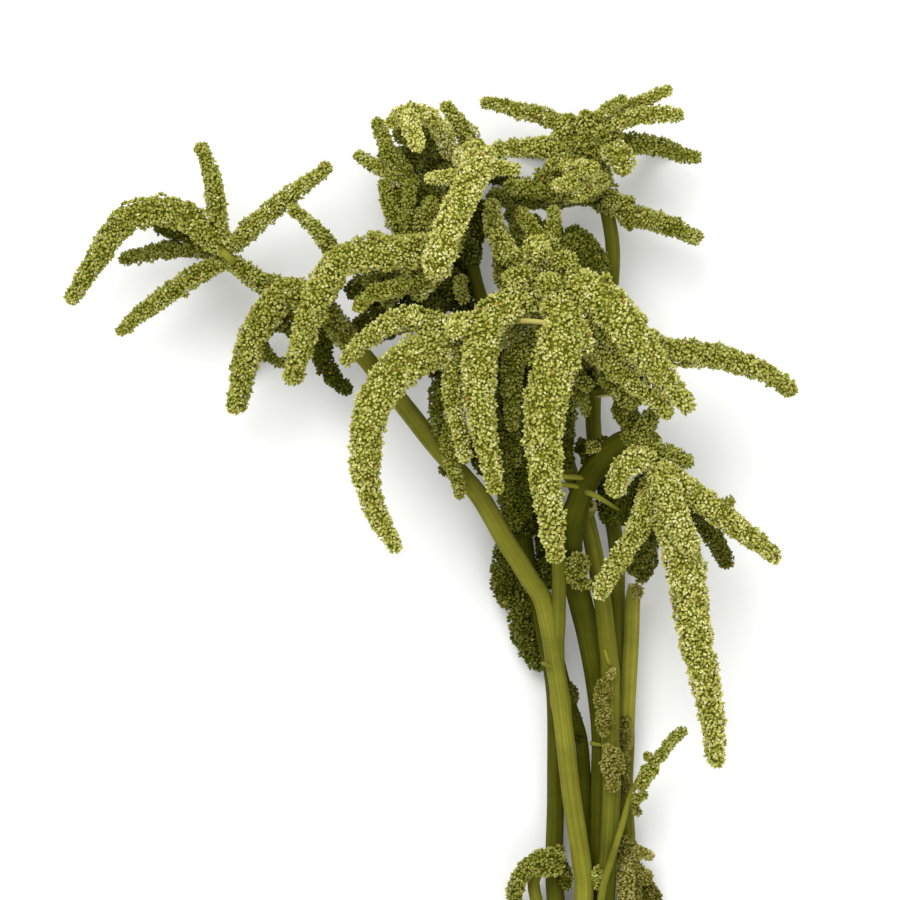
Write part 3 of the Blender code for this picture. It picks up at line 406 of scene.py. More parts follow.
# Centre line, radius at the root and at the tip; a twig has its tones as well
STRAWS = (
    (((-42, 418.6, 100), (-34, 418.2, 106.8), (-25.5, 417, 114)), 1.35, 1.2),
    (((-2, 381.8, 62), (4, 382.6, 68), (10.5, 383.5, 74)), 0.8, 0.7),
)
BARE_TWIGS = (
    (((-190.5, 456, 57), (-187, 452.5, 59.3), (-183.5, 449, 57)), 1.8, 2.1, (0.9, 0.8)),
    (((-4, 384.5, 58), (3, 385.5, 66), (11, 386.5, 74)), 2.3, 2.2, (0.5, 0.6)),
    (((2.3, 257.5, 42.5), (3.6, 252, 43.8), (5.2, 247, 43.2)), 0.7, 0.8, (1.0, 0.9)),
)

# The whole skin of a straw gets the colour number of a cut's rim, and so its cream colour
straws = [stalk(*straw, (1.0, 1.0)) for straw in STRAWS]
for _, numbers in straws:
    numbers[:, 0] = CREAM_RIM
twigs = [stalk(*twig) for twig in BARE_TWIGS]
make_piece("straw_and_twigs", straws + twigs, olive_stem, "stem_green")

# The seed heads. Every spike is a green rachis thickened by its flowers, covered with small lumpy
# clusters of florets, each floret a pointed bud, pale at its tip and darker towards its root, where
# the darkening is painted shade between the buds. Clusters follow the golden angle.
# A spike's outline: width at its root, where it is full, and how it narrows; and the lumps on it
SPIKE_STEP = 1.0
ROOT_SHARE = 0.78
FULL_WIDTH_AT = 0.3
NARROWING = 1.6
LEAST_ROUNDING = 0.02
LUMP_HEIGHT = 0.065
LUMP_LENGTHS = (7.0, 11.0, 17.0)
# The core: stations from one ring to the next, depth under the spike's radius, the least share of it
# that is kept, the first three colour numbers, and its share of the spike's tone. These make the core
# darker than the buds: partly the rachis's own green and partly painted shade in the gaps between
# clusters.
CORE_SIDES = 10
CORE_EVERY = 4
CORE_DEPTH = 2.7
CORE_LEAST = 0.55
CORE_NUMBERS = (0.2, 0.4, 0.4)
CORE_TONE = 0.45
# Clusters on a spike of the usual width: surface for each, radius, depth below the spike's radius and
# how uneven that is, random shift round the spike, and limits of the dome's size
GOLDEN_ANGLE = math.pi * (3 - math.sqrt(5))
USUAL_WIDTH = 16
SCALE_POWER = 0.25
LEAST_CLUSTERS = 6
CLUSTER_AREA = 16.7
CLUSTER_RADIUS = 2.0
CLUSTER_DEPTH = 0.75
CLUSTER_UNEVEN = 0.38
CLUSTER_REACH = (-0.7, 0.9)
CLUSTER_SHIFT = 0.5
CLUSTER_SIZES = (0.8, 1.15)
# A cluster nearer to another spike's line than this share of its radius is left out
BURIED = 0.78
BURIED_EVERY = 3
# Buds: lean from the cluster's axis in radians, what is random in it, and full width and length
BUDS_IN_CLUSTER = 7
BUD_TILT = 0.95
BUD_TILT_UNEVEN = 0.2
BUD_TURN_UNEVEN = 0.25
BUD_TWIST = 0.4
BUD_WIDTH = 1.6
BUD_LENGTH = 2.5
BUD_SIZES = (0.75, 1.25)
BUD_UNEVEN = 0.3
BUD_SIDES = 4
# Keeps a bud's side direction defined where a cluster points along its spike
NUDGE = 1e-3
# Heights of a bud's root, widest ring and tip as shares of its length
BUD_ROOT, BUD_RING, BUD_TIP = -0.4, 0.1, 0.6
# Triangles after which a head goes on in a further piece, and the heads whose florets are dry
PIECE_LIMIT = 195_000
DRY_HEADS = ("right_tuft", "middle_crust", "right_crust", "rear_crust", "scar_crust")
random = np.random.default_rng(7)

# The node that each head stands for and its spikes. A spike has its full width, its tone from dark
# (0) to pale (1), partly its own green and partly painted shade on spikes deep in the bunch and
# painted light on those in front, its tip's width as a share of the full one, and its centre line
# from root to tip.
HEADS = {}
HEADS["left_head"] = "head_left", [
    (14, 0.35, 0.7, (-118, 401, 57), (-128, 412, 55), (-140, 427, 53), (-155, 435, 52), (-169, 439, 51),
     (-187, 451, 50)),
    (16.3, 0.45, 0.5, (-185.5, 453.5, 52), (-200, 467, 60), (-214, 474, 62), (-225, 474.5, 61),
     (-236, 471.5, 58), (-244.5, 462.5, 54), (-250, 454.5, 50), (-255.5, 446.5, 46), (-261.5, 438, 40),
     (-267.5, 429, 34)),
    (11.5, 0.45, 0.6, (-189.5, 458, 52), (-191.5, 470, 58), (-192, 480, 62), (-193.5, 490, 64),
     (-196.5, 499.5, 65), (-201, 508.5, 66)),
    (11, 0.3, 0.6, (-189.5, 455.5, 46), (-206, 457, 36), (-221.5, 456, 30), (-232, 453.5, 27),
     (-243, 451.5, 24)),
    (11.5, 0.4, 0.6, (-185.5, 451.5, 50), (-194.5, 447, 50), (-202.5, 443, 50), (-213.5, 435.5, 48),
     (-224.5, 428, 44), (-234.5, 420.5, 40), (-242.5, 413, 37)),
    (11.5, 0.5, 0.6, (-185.5, 455.5, 50), (-178.5, 462.5, 54), (-171, 469, 58), (-162.5, 476.5, 60),
     (-152.5, 484, 62), (-142.5, 491.5, 63), (-134.5, 498, 64)),
    (11, 0.1, 0.5, (-188, 453.5, 46), (-204, 469.5, 30), (-223, 476.5, 8), (-238.5, 476.5, 1.8)),
    (17, 0.55, 0.6, (-137, 428.5, 54), (-155, 434, 58), (-166, 424, 60), (-173, 412.5, 58),
     (-176.5, 402.5, 54), (-179, 392.5, 48), (-181.5, 382.5, 42), (-184.5, 373.5, 37)),
    (8, 0.2, 0.7, (-172, 412, 56), (-166, 402, 44), (-157, 398, 40)),
    (10.5, 0.45, 0.6, (-137, 430, 56), (-131, 446, 60), (-137.5, 459.5, 70), (-145.5, 468.5, 72),
     (-155.5, 476.5, 73)),
    (12.5, 0.0, 0.6, (-128, 419, 54), (-137.5, 413, 46), (-140, 404.5, 38), (-137.5, 396.5, 32),
     (-131.5, 389, 29), (-124.5, 384, 27)),
    (12, 0.1, 0.5, (-150.5, 433, 50), (-170, 416, 26), (-177, 401, 6), (-181, 388, 1.8)),
    (9, 0.0, 0.7, (-189.5, 455.5, 44), (-206, 462, 38), (-219, 466, 34), (-225, 468, 33)),
    (14, 0.3, 0.8, (-152.5, 432, 50), (-159.5, 423, 48), (-166.5, 415.5, 46)),
    (12, 0.1, 0.8, (-141.5, 430.5, 48), (-150.5, 421.5, 46), (-156.5, 411.5, 44)),
]
HEADS["rear_head"] = "head_rear", [
    (15, 0.1, 0.7, (-64, 446, 49), (-69, 465, 51), (-74, 483, 54), (-76.5, 500, 57)),
    (10.5, 1.0, 0.7, (-75, 501, 57), (-77, 509.5, 68), (-81.5, 517, 80), (-89.5, 522, 90), (-98, 522, 92),
     (-103, 518, 91), (-105, 514, 90)),
    (10, 0.35, 0.65, (-94, 492, 56), (-102.5, 500.5, 52), (-107, 508, 48), (-110, 516, 45),
     (-112.5, 522.5, 44)),
    (9, 0.45, 0.7, (-90, 489.5, 54), (-99, 490.5, 54), (-106, 494.5, 50), (-112.5, 498, 46),
     (-118, 501, 42), (-123, 505, 40)),
    (10.5, 0.35, 0.65, (-87.5, 460, 56), (-98, 463, 58), (-102, 470, 60), (-105.5, 477.5, 61),
     (-107, 485, 61), (-107.5, 491, 60)),
    (8.5, 0.3, 0.7, (-85, 460, 60), (-96, 466, 64), (-95.5, 474.5, 70), (-95, 482, 73), (-94.5, 490, 72)),
    (12, 0.4, 0.7, (-80, 460, 62), (-88, 464.5, 66), (-86, 473.5, 74), (-83, 480.5, 80)),
    (12, 0.5, 0.6, (-74, 497, 56), (-64, 509, 57), (-68, 514.5, 59), (-72, 519.5, 61), (-75.5, 525, 62),
     (-78, 529.5, 62)),
    (16.5, 1.0, 0.9, (-70, 500, 62), (-61, 499.5, 88), (-64, 489.5, 103), (-68, 480.5, 109),
     (-72, 471.5, 113), (-76, 461.5, 115), (-79.5, 453, 114), (-81.5, 447, 109), (-82, 444.5, 99)),
    (8, 0.9, 0.75, (-68, 489.5, 104), (-77.5, 489, 106), (-88, 488.5, 104)),
    (8, 0.5, 0.85, (-70, 442.5, 60), (-69.5, 435, 63), (-68.5, 427.5, 64)),
    (16, 0.0, 0.7, (-69, 485.5, 52), (-64, 473, 48), (-64.5, 460.5, 46), (-67.5, 449.5, 46),
     (-69.5, 441.5, 46)),
    (18, 0.6, 0.6, (-71, 460, 56), (-86.5, 454.5, 78), (-99.5, 452, 88), (-113.5, 452, 92),
     (-125.5, 449.5, 94), (-134, 443, 92), (-140, 432, 88), (-145, 419.5, 83), (-149, 405.5, 77),
     (-154.5, 388, 65)),
    (11, 0.35, 0.65, (-80, 449, 60), (-90, 442.5, 74), (-100, 436, 84), (-109.5, 433.5, 90),
     (-116.5, 429.5, 92), (-122.5, 424, 90)),
    (13, 0.8, 0.75, (-77, 454, 60), (-83.5, 443.5, 69), (-89, 435.5, 73), (-93, 429.5, 72)),
    (13, 0.0, 0.5, (-72, 478, 50), (-82, 468, 26), (-92, 454, 7), (-100, 437, 1.8)),
    (13, 0.0, 0.5, (-75, 494, 52), (-62, 497, 28), (-48, 494, 7), (-33, 489, 1.8)),
    (12, 0.1, 0.5, (-76, 497, 54), (-90, 503, 26), (-100, 506, 7), (-112, 506, 1.8)),
    (10, 1.0, 0.75, (-95.5, 522, 94), (-94, 513.5, 102), (-91.5, 506.5, 106), (-89, 501.5, 106)),
    (17, 0.12, 0.7, (-75, 504.5, 54), (-85, 511, 58), (-95, 513.5, 60), (-103.5, 513, 62)),
    (14, 0.12, 0.6, (-80, 494.5, 50), (-87.5, 498.5, 45), (-97.5, 502, 42), (-104, 506, 40)),
    (9, 0.0, 0.7, (-92.5, 464.5, 50), (-100, 473, 50), (-102.5, 482, 50), (-102.5, 488, 50)),
    (9.5, 0.8, 0.75, (-65, 495.5, 92), (-55.5, 494.5, 96), (-46.5, 494, 95), (-40.5, 492, 92)),
    (9, 0.45, 0.7, (-87.5, 459.5, 70), (-104, 457.5, 82), (-111.5, 460, 88), (-116, 462, 90)),
    (12, 0.25, 0.6, (-80, 449, 56), (-92.5, 442, 60), (-107.5, 440, 62), (-119, 437.5, 60)),
    (13, 0.15, 0.6, (-76, 449, 54), (-77, 437.5, 54), (-81, 430, 52), (-87.5, 424.5, 50)),
    (16, 0.05, 0.7, (-80, 478, 54), (-90, 484.5, 52), (-99, 487.5, 50)),
    (14, 0.05, 0.7, (-77.5, 466, 56), (-89, 467, 54), (-98.5, 469.5, 52)),
    (16, 0.0, 0.7, (-75, 448, 50), (-92.5, 438, 45), (-106, 432, 40), (-117.5, 427.5, 36)),
    (17, 0.0, 0.7, (-72.5, 438, 50), (-85, 428, 46), (-102.5, 419.5, 44), (-117.5, 412.5, 42)),
    (11, 0.0, 0.8, (-67.5, 479.5, 54), (-60, 476, 52), (-54, 473.5, 50)),
    (13, 0.0, 0.8, (-68.5, 445.5, 48), (-68, 432.5, 46), (-70, 419.5, 44)),
    (12, 0.2, 0.8, (-100.5, 467.5, 54), (-100, 477, 56), (-99, 486, 58)),
    (9, 0.55, 0.7, (-80, 446, 62), (-92.5, 441.5, 70), (-102, 433.5, 76), (-108, 425.5, 76)),
    (13, 0.05, 0.8, (-106, 442.5, 52), (-118, 438.5, 50), (-126.5, 431.5, 48)),
    (14, 0.05, 0.8, (-97.5, 424.5, 44), (-112.5, 421.5, 42), (-124.5, 412.5, 40)),
]
HEADS["top_head"] = "head_top", [
    (14, 0.3, 0.7, (4, 474, 37), (2, 486, 41), (-1, 498, 45), (-4, 511, 48)),
    (10.5, 0.5, 0.65, (-0.5, 507.5, 48), (-8.5, 513.5, 49), (-20, 519.5, 50), (-30, 523, 50),
     (-40, 525.5, 50), (-50, 528, 49), (-60, 530.5, 48)),
    (15.5, 0.4, 0.6, (-3, 504.5, 46), (-6, 516, 60), (-7.5, 524, 68)),
    (8.5, 0.55, 0.7, (0.5, 518.5, 50), (10, 524.5, 56), (24, 530.5, 58), (30, 533.5, 58), (36.5, 536, 58)),
    (10.5, 0.55, 0.65, (0, 516.5, 54), (12.5, 520.5, 64), (22.5, 522, 66), (32.5, 522.5, 66),
     (42, 522, 64)),
    (11, 0.35, 0.65, (2.5, 507.5, 46), (15.5, 509.5, 45), (25.5, 508.5, 43), (35, 506.5, 40),
     (43.5, 503.5, 38), (52, 502, 36)),
    (8, 0.5, 0.7, (-3, 519, 60), (6, 526.5, 66), (13.5, 530.5, 68)),
    (13.5, 0.8, 0.8, (2, 504.5, 50), (9, 504, 60), (12, 500, 62), (9, 493, 58)),
    (12.3, 0.4, 0.65, (3.5, 481, 42), (13, 475, 42), (20.5, 472, 41), (28.5, 470.5, 39), (37, 467.5, 37),
     (46, 463.5, 33), (52.5, 461.5, 30)),
    (9, 0.4, 0.8, (0.5, 482.5, 44), (10.5, 480, 48), (18, 479.5, 49)),
    (14, 0.6, 0.75, (1.5, 489.5, 46), (-8.5, 489, 66), (-17.5, 489.5, 80)),
    (9, 0.75, 0.8, (-5, 491, 58), (-13.5, 494.5, 72), (-20, 497, 78)),
    (9, 0.6, 0.8, (-4, 488, 58), (-10, 483, 70), (-16, 480, 74)),
    (9, 0.8, 0.8, (-6, 490, 64), (-16.5, 487, 78), (-24.5, 485.5, 82)),
    (9, 0.8, 0.8, (-5, 490, 64), (-6.5, 493, 78), (-8.5, 494.5, 84)),
    (12, 0.2, 0.8, (0.5, 511, 46), (6.5, 505.5, 48), (9, 498.5, 50)),
    (11, 0.3, 0.8, (-7.5, 492.5, 54), (-22, 493.5, 57), (-33, 491, 58)),
    (10, 0.5, 0.8, (-1.5, 496.5, 52), (-17, 497, 60), (-27.5, 498, 64)),
    (13, 0.25, 0.8, (-1, 489.5, 35), (-14.5, 484, 35), (-29.5, 482, 36), (-44.5, 482, 36),
     (-57, 482.5, 37)),
    (9.5, 0.7, 0.8, (-4.5, 496.5, 50), (-10, 495.5, 68), (-6.5, 495, 78), (-1.5, 495.5, 76)),
    (8, 0.6, 0.8, (-4.5, 487.5, 50), (-12.5, 485.5, 66), (-8, 485, 70), (-2, 485.5, 68)),
    (12.5, 0.38, 0.6, (0.5, 485, 44), (-20, 485.5, 53), (-36.5, 486, 58), (-48.5, 487, 58)),
    (9, 0.15, 0.8, (3.5, 481.5, 42), (-5.5, 481.5, 41), (-12, 482, 41)),
    (12.5, 0.65, 0.7, (-2.5, 506.5, 47), (-19, 507, 53), (-35, 506.5, 56), (-46, 505.5, 56),
     (-54.5, 505, 56)),
    (10, 0.1, 0.5, (-4.5, 506.5, 38), (-19, 507.5, 20), (-34, 509, 6), (-47, 509.5, 1.8)),
    (10, 0.1, 0.5, (0.5, 506, 40), (16.5, 510, 20), (29.5, 509.5, 6), (41.5, 507.5, 1.8)),
    (6.5, 0.3, 0.8, (10.5, 474, 42), (14.5, 469, 42), (16, 465, 41)),
    (15, 0.5, 0.8, (-14, 505.5, 52), (-5, 514.5, 58), (7, 520.5, 60)),
    (15, 0.35, 0.8, (-10, 500.5, 50), (0, 509, 54), (12, 513.5, 55)),
    (13, 0.15, 0.8, (-7, 503, 47), (3, 505, 47), (15.5, 506.5, 45)),
    (15, 0.45, 0.8, (-20, 498, 50), (-18, 511.5, 54), (-14, 523.5, 56)),
    (16, 0.35, 0.8, (-5, 487.5, 52), (-13, 495, 56), (-24, 501, 58)),
    (14, 0.2, 0.8, (1.5, 484.5, 45), (-3.5, 498, 46), (-7.5, 506, 46)),
]
HEADS["centre_head"] = "head_centre", [
    (19, 0.3, 0.45, (-19.5, 367, 55), (-20, 387.5, 64), (-23, 409.5, 72), (-27.5, 431.5, 79),
     (-31.5, 447, 81), (-34.5, 456, 82)),
    (13, 0.6, 0.6, (-34.5, 447.5, 80), (-44, 450.5, 80), (-50, 457.5, 78), (-53, 466.5, 73), (-54, 474, 67),
     (-53.5, 479.5, 63)),
    (15, 0.0, 0.8, (-27.5, 444.5, 70), (-31.5, 460, 64), (-37, 472.5, 58)),
    (10, 0.1, 0.8, (-34, 460, 60), (-41, 469, 57), (-46, 477, 54)),
    (15, 0.0, 0.8, (-27.5, 446, 66), (-24.5, 460, 58), (-25, 470.5, 54)),
    (9, 0.4, 0.75, (-26.5, 446.5, 77), (-24.5, 457, 75), (-23.5, 468.5, 72), (-23, 477, 68)),
    (10.5, 0.35, 0.7, (-28, 450.5, 79), (-32, 460.5, 77), (-36.5, 468.5, 72), (-41, 475, 67)),
    (15, 0.75, 0.7, (-30, 447, 82), (-32.5, 453.5, 98), (-33.5, 459, 106)),
    (14, 0.45, 0.7, (-27.5, 442, 82), (-19.5, 447.5, 96), (-12, 447.5, 100)),
    (15, 0.55, 0.7, (-29, 439.5, 82), (-40.5, 440, 96), (-48.5, 437, 99)),
    (16, 0.55, 0.7, (-27, 432.5, 82), (-26.5, 436, 98), (-26.5, 438.5, 108)),
    (23, 0.75, 0.38, (-24.5, 436.5, 84), (-19.5, 423, 101), (-20.5, 408, 110), (-24.5, 393, 113),
     (-28, 378.5, 112.5), (-29, 364, 110), (-28.5, 349, 107), (-27, 334.5, 103), (-25, 320.5, 98),
     (-23.5, 308, 94), (-22, 299, 91)),
    (19, 0.75, 0.45, (-28, 429.5, 84), (-48, 425, 101), (-57.5, 417, 108), (-60, 404, 110),
     (-60.5, 389.5, 109), (-60, 377, 108), (-58.5, 365, 106), (-56, 352.5, 103), (-53.5, 341, 100),
     (-51.5, 333, 97)),
    (15.5, 0.9, 0.85, (-28, 429.5, 80), (-48, 420.5, 86), (-61, 417, 96), (-70, 416, 106),
     (-71.5, 415.5, 116)),
    (22, 0.75, 0.36, (-28, 427, 78), (-50, 412, 82), (-67.5, 409.5, 86), (-80, 407, 90), (-92.5, 401, 97),
     (-101, 394.5, 102), (-108, 385.5, 106), (-113, 377, 107), (-115, 367.5, 106), (-116.5, 357.5, 104),
     (-116.5, 350, 102), (-116, 340, 97), (-113.5, 330.5, 91), (-109.5, 320.5, 86), (-104.5, 310.5, 80.5),
     (-100.5, 305, 77)),
    (14, 0.8, 0.5, (-65, 415.5, 86), (-80, 416, 90), (-92.5, 420, 91), (-100.5, 419.5, 91),
     (-109.5, 414.5, 89), (-118, 408.5, 86), (-124.5, 402, 83), (-128.5, 397.5, 80)),
    (13.5, 0.65, 0.5, (-23, 418.5, 78), (-50, 410.5, 86), (-66, 403.5, 90), (-73, 392, 94),
     (-73.5, 380.5, 93), (-71.5, 370, 92), (-69, 359, 90), (-67, 348, 87)),
    (12, 0.3, 0.5, (-23, 414.5, 76), (-55, 397, 79), (-72, 380, 78), (-75.5, 365, 77), (-75, 352.5, 75),
     (-71.5, 341, 73), (-69.5, 330.5, 71)),
    (11, 0.1, 0.6, (-62.5, 403.5, 80), (-74, 396.5, 80), (-79.5, 387.5, 79), (-81, 379, 78),
     (-81.5, 370, 76), (-80, 361, 73)),
    (13, 0.3, 0.5, (-24, 412, 76), (-42, 402, 88), (-44.5, 385, 88), (-44, 364, 85)),
    (12, 0.2, 0.6, (-22, 404, 72), (-42, 392, 74), (-43, 370, 72), (-43, 346, 66)),
    (21.5, 0.75, 0.42, (-28, 440, 84), (-6, 433, 100), (6.5, 422, 107), (17.5, 407.5, 107),
     (28.5, 393, 103), (38, 381, 98), (44.5, 375, 94)),
    (18.5, 0.55, 0.5, (-24, 428, 82), (-2, 422, 96), (13, 406, 98), (28, 387, 92)),
    (14, 0.6, 0.6, (-23, 417, 76), (-5.5, 406.5, 87), (7, 395.5, 92), (20, 385, 94), (29, 377, 93),
     (34, 370.5, 91)),
    (15.5, 0.55, 0.55, (-23, 417, 76), (9, 409.5, 84), (31.5, 404, 84), (49, 402.5, 80), (61.5, 400.5, 76),
     (74.5, 396.5, 70), (86, 391.5, 62), (93, 387.5, 54), (97.5, 384.5, 46)),
    (8.5, 0.5, 0.8, (6, 420, 100), (14.5, 420, 107), (22, 417.5, 108)),
    (8, 0.3, 0.7, (-22, 397, 68), (-14, 390, 70), (-9.5, 382, 70), (-7.5, 376, 68), (-7.5, 371.5, 66)),
    (13, 0.25, 0.6, (-21, 406, 72), (-4, 403, 76), (8, 397, 78), (15, 385, 76)),
    (12, 0.1, 0.6, (-21, 402, 70), (-8, 401, 72), (1, 396, 70)),
    (15.5, 0.05, 0.6, (-20.5, 437, 80), (-4, 443.5, 72), (-4.5, 453.5, 66), (-10.5, 460.5, 62),
     (-16, 466, 58)),
    (13, 0.0, 0.5, (-25, 430, 74), (-33, 415, 46), (-40, 393, 12), (-45, 373, 1.8)),
    (11, 0.35, 0.6, (-21, 405, 72), (-15.5, 396.5, 76), (-10.5, 390, 78), (-4.5, 384.5, 78)),
    (10.5, 0.85, 0.7, (-22, 418, 100), (-14, 416, 110), (-9, 409, 110), (-8.5, 403, 104)),
    (6.5, 0.6, 0.8, (18.5, 410, 104), (24, 412, 106), (28, 413, 105)),
    (11, 0.3, 0.7, (5, 407, 90), (13, 398.5, 88), (19, 390.5, 86)),
    (13, 0.05, 0.7, (-27.5, 423.5, 70), (-43.5, 405, 72), (-47, 385, 72), (-48.5, 365, 70),
     (-48, 347.5, 66), (-46, 330, 58), (-42.5, 315, 50)),
    (14, 0.0, 0.7, (-25, 420, 70), (-36, 392.5, 72), (-38.5, 367.5, 68), (-39.5, 342.5, 60),
     (-38, 320, 52)),
    (10, 0.0, 0.8, (-67.5, 404.5, 78), (-79, 396.5, 80), (-85.5, 391, 80)),
    (9, 0.0, 0.8, (-20, 392.5, 66), (-17, 375, 62), (-16.5, 360, 58), (-17, 344, 54)),
    (15, 0.2, 0.8, (-28, 434.5, 76), (-36, 448.5, 70), (-40, 460, 64), (-41.5, 469, 60)),
    (15, 0.2, 0.8, (-25.5, 437, 76), (-22, 450.5, 70), (-20, 460, 66)),
    (9, 0.25, 0.8, (-42.5, 429.5, 76), (-48.5, 439.5, 72), (-50, 448.5, 68), (-50.5, 457.5, 64)),
    (13, 0.15, 0.8, (-20, 459.5, 70), (-9, 454, 66), (1.5, 444, 60)),
    (15, 0.35, 0.8, (-0.5, 399.5, 78), (8.5, 387.5, 78), (19.5, 377.5, 76)),
    (13, 0.15, 0.8, (8.5, 380, 70), (14, 370, 67), (21, 365, 64)),
    (11, 0.05, 0.8, (-2, 404, 66), (-4, 394, 62), (-5, 384, 58)),
]
HEADS["right_head"] = "head_right", [
    (15, 0.3, 0.8, (11, 358.5, 65), (18, 360, 69), (25, 354, 74), (30.5, 344.5, 77.4)),
    (20, 0.88, 0.5, (27, 350, 74), (33, 326, 78), (40, 305.5, 75), (44, 285.5, 71), (46, 270, 66),
     (49, 255, 61), (52.5, 240, 55), (56, 224.5, 49), (58, 209, 43), (59.5, 195, 37)),
    (15, 0.85, 0.75, (27.5, 348, 80), (32.5, 335, 89), (36.5, 323, 92), (42, 311, 90), (45.5, 304, 86)),
    (14.5, 0.85, 0.6, (25.5, 349, 78), (36.5, 340, 80), (49, 331, 80), (60, 322.5, 78), (70, 315, 74),
     (80, 308, 69), (89, 299.5, 62)),
    (7, 0.3, 0.9, (57, 325.5, 79), (62.5, 329, 82), (66, 331, 82)),
    (12, 0.1, 0.72, (32, 340, 70), (45, 327.5, 62), (54, 316, 56), (60.5, 305.5, 50), (65.5, 296, 45)),
    (10, 0.4, 0.75, (19.5, 354, 70), (29.5, 354, 72), (38.5, 352, 70), (46, 347.5, 66)),
    (13.5, 0.9, 0.7, (27, 350, 74), (19.5, 350.5, 82), (13.5, 348.5, 87), (8.5, 341.5, 88),
     (5.5, 331.5, 84)),
    (12.5, 0.75, 0.7, (27, 347.5, 74), (23.5, 332.5, 78), (20, 320, 78), (14.5, 309, 76), (8.5, 299.5, 73),
     (2.5, 289.5, 69), (-1, 280.5, 65)),
    (11.5, 0.25, 0.8, (25.5, 342.5, 70), (21.5, 327.5, 62), (20, 315, 55), (24, 305, 49),
     (23.5, 298.5, 47)),
    (12, 0.25, 0.7, (20, 359, 70), (24, 370, 74), (28.5, 374, 74)),
    (12, 0.1, 0.7, (18.5, 358, 68), (16, 368, 60), (13, 379, 52)),
    (11, 0.0, 0.5, (27.5, 344, 70), (41, 335, 38), (52.5, 328.5, 11), (60, 324, 1.8)),
    (10, 0.15, 0.8, (20, 356, 66), (25.5, 360, 68), (30, 360, 68)),
    (5.5, 0.1, 0.9, (18, 368, 60), (12, 373, 62), (6.5, 375, 62)),
    (10, 0.0, 0.8, (6, 357, 58), (-1, 356, 56), (-7, 354, 55)),
    (13, 0.05, 0.7, (27.5, 342.5, 66), (20, 335, 60), (14, 327, 56), (11, 317, 54)),
    (10.5, 0.0, 0.8, (22.5, 330, 60), (13.5, 324, 52), (5, 321, 48), (1, 322, 46)),
    (13, 0.15, 0.7, (26, 320, 64), (24, 310, 58), (20, 301, 54), (15.5, 292.5, 50)),
    (12, 0.0, 0.7, (18, 330, 58), (11.5, 324, 52), (3.5, 320, 48)),
    (12, 0.08, 0.7, (24.5, 306, 52), (23, 298, 49), (20.5, 288.5, 45)),
    (6.5, 0.5, 0.8, (-6, 355, 60), (-3, 356.5, 63), (0.5, 354.5, 62)),
    (12, 0.0, 0.8, (-8.5, 348.5, 52), (-2.5, 352.5, 53), (5.5, 357, 52)),
    (12, 0.0, 0.8, (4, 341, 38), (5, 331, 33), (4, 319, 30)),
    (10, 0.0, 0.8, (-10.5, 360, 48), (-5.5, 354, 46), (0.5, 349, 44)),
]
HEADS["back_head"] = "head_back", [
    (14, 0.0, 0.5, (-37.5, 308, 26), (-39, 328, 27), (-39, 352, 25)),
    (17, 0.05, 0.7, (-32, 327, 27), (-41.5, 314.5, 22), (-46, 302.5, 17), (-44, 289, 13)),
    (16, 0.05, 0.7, (-27, 299, 24), (-33, 284, 18), (-38.5, 272, 14), (-37, 260.5, 12),
     (-31.5, 250.5, 10.5), (-27.5, 243, 9.5)),
    (12.5, 0.0, 0.5, (-38, 332, 27), (-28, 318, 24), (-26, 300, 20), (-24, 284, 17)),
    (12, 0.0, 0.5, (-39, 340, 26), (-24, 348, 24), (-13, 355, 22)),
    (13, 0.0, 0.5, (-39, 338, 26), (-54, 346, 17), (-64, 356, 6), (-74, 368, 1.8)),
    (13, 0.0, 0.5, (-39, 346, 25), (-40, 362, 20), (-44, 378, 30)),
    (17, 0.05, 0.8, (-46, 300, 17), (-46.5, 288, 14), (-42.5, 274, 13)),
    (14, 0.0, 0.8, (-33, 300, 24), (-31, 280, 18), (-31, 262, 13)),
]
HEADS["low_head"] = "head_low", [
    (10.2, 0.28, 0.4, (-18, 143, 25), (-26.5, 143.5, 28), (-34.5, 144, 28), (-40, 138, 24),
     (-42, 130.5, 18), (-42.5, 120.5, 10), (-42.5, 106.5, 1.6)),
    (8.8, 0.28, 0.7, (-18, 149, 25), (-25, 150, 29), (-31.5, 149, 31), (-37.5, 145, 29)),
    (8.4, 0.1, 0.6, (-24, 147, 24), (-17, 142, 21), (-15.5, 131, 20)),
    (7, 0.15, 0.8, (-24, 147, 24), (-20, 152, 24.5), (-17, 153, 23)),
]
HEADS["right_tuft"] = "tuft_right", [
    (11.5, 0.4, 0.6, (15, 159, 18), (15.5, 147, 20), (17.5, 134, 19), (18.5, 118.5, 14)),
    (7, 0.75, 0.85, (16.5, 152, 20), (23, 150, 25), (28.5, 149, 27.5)),
    (9.5, 0.5, 0.85, (17, 143, 20), (23, 139, 22.5), (27.5, 136.5, 22)),
    (10.5, 0.6, 0.6, (13.5, 149, 21), (14, 137.5, 27), (14.5, 124.5, 28), (16, 112.5, 22)),
    (12, 0.2, 0.5, (22.5, 136, 17), (28, 125, 9), (31, 108, 1.4)),
]
HEADS["shoot_tuft"] = "tuft_shoot", [
    (7.2, 0.4, 0.85, (27, 195.5, 36), (33, 203.5, 38), (38.5, 210.5, 39), (44.5, 214.5, 39.5)),
    (6, 0.35, 0.85, (29, 196.5, 36), (25, 200, 38), (22.5, 202, 39)),
    (8.5, 0.4, 0.8, (23.5, 190.5, 35), (27.5, 193.5, 37), (30.5, 193.5, 38)),
    (6, 0.3, 0.8, (28.5, 197.5, 36), (32, 201, 37), (34.5, 200.5, 37)),
    (8.5, 0.35, 0.8, (21, 183.5, 35), (23.5, 190.5, 36.5), (26.5, 196, 38)),
]
HEADS["shoot_tuft_low"] = "tuft_shoot_low", [
    (6.2, 0.3, 0.9, (16.5, 177.5, 34), (21, 180, 36), (25, 181, 37)),
    (4.8, 0.2, 0.8, (16.5, 179.5, 34), (19, 174.5, 36), (19.5, 170, 36.5)),
]
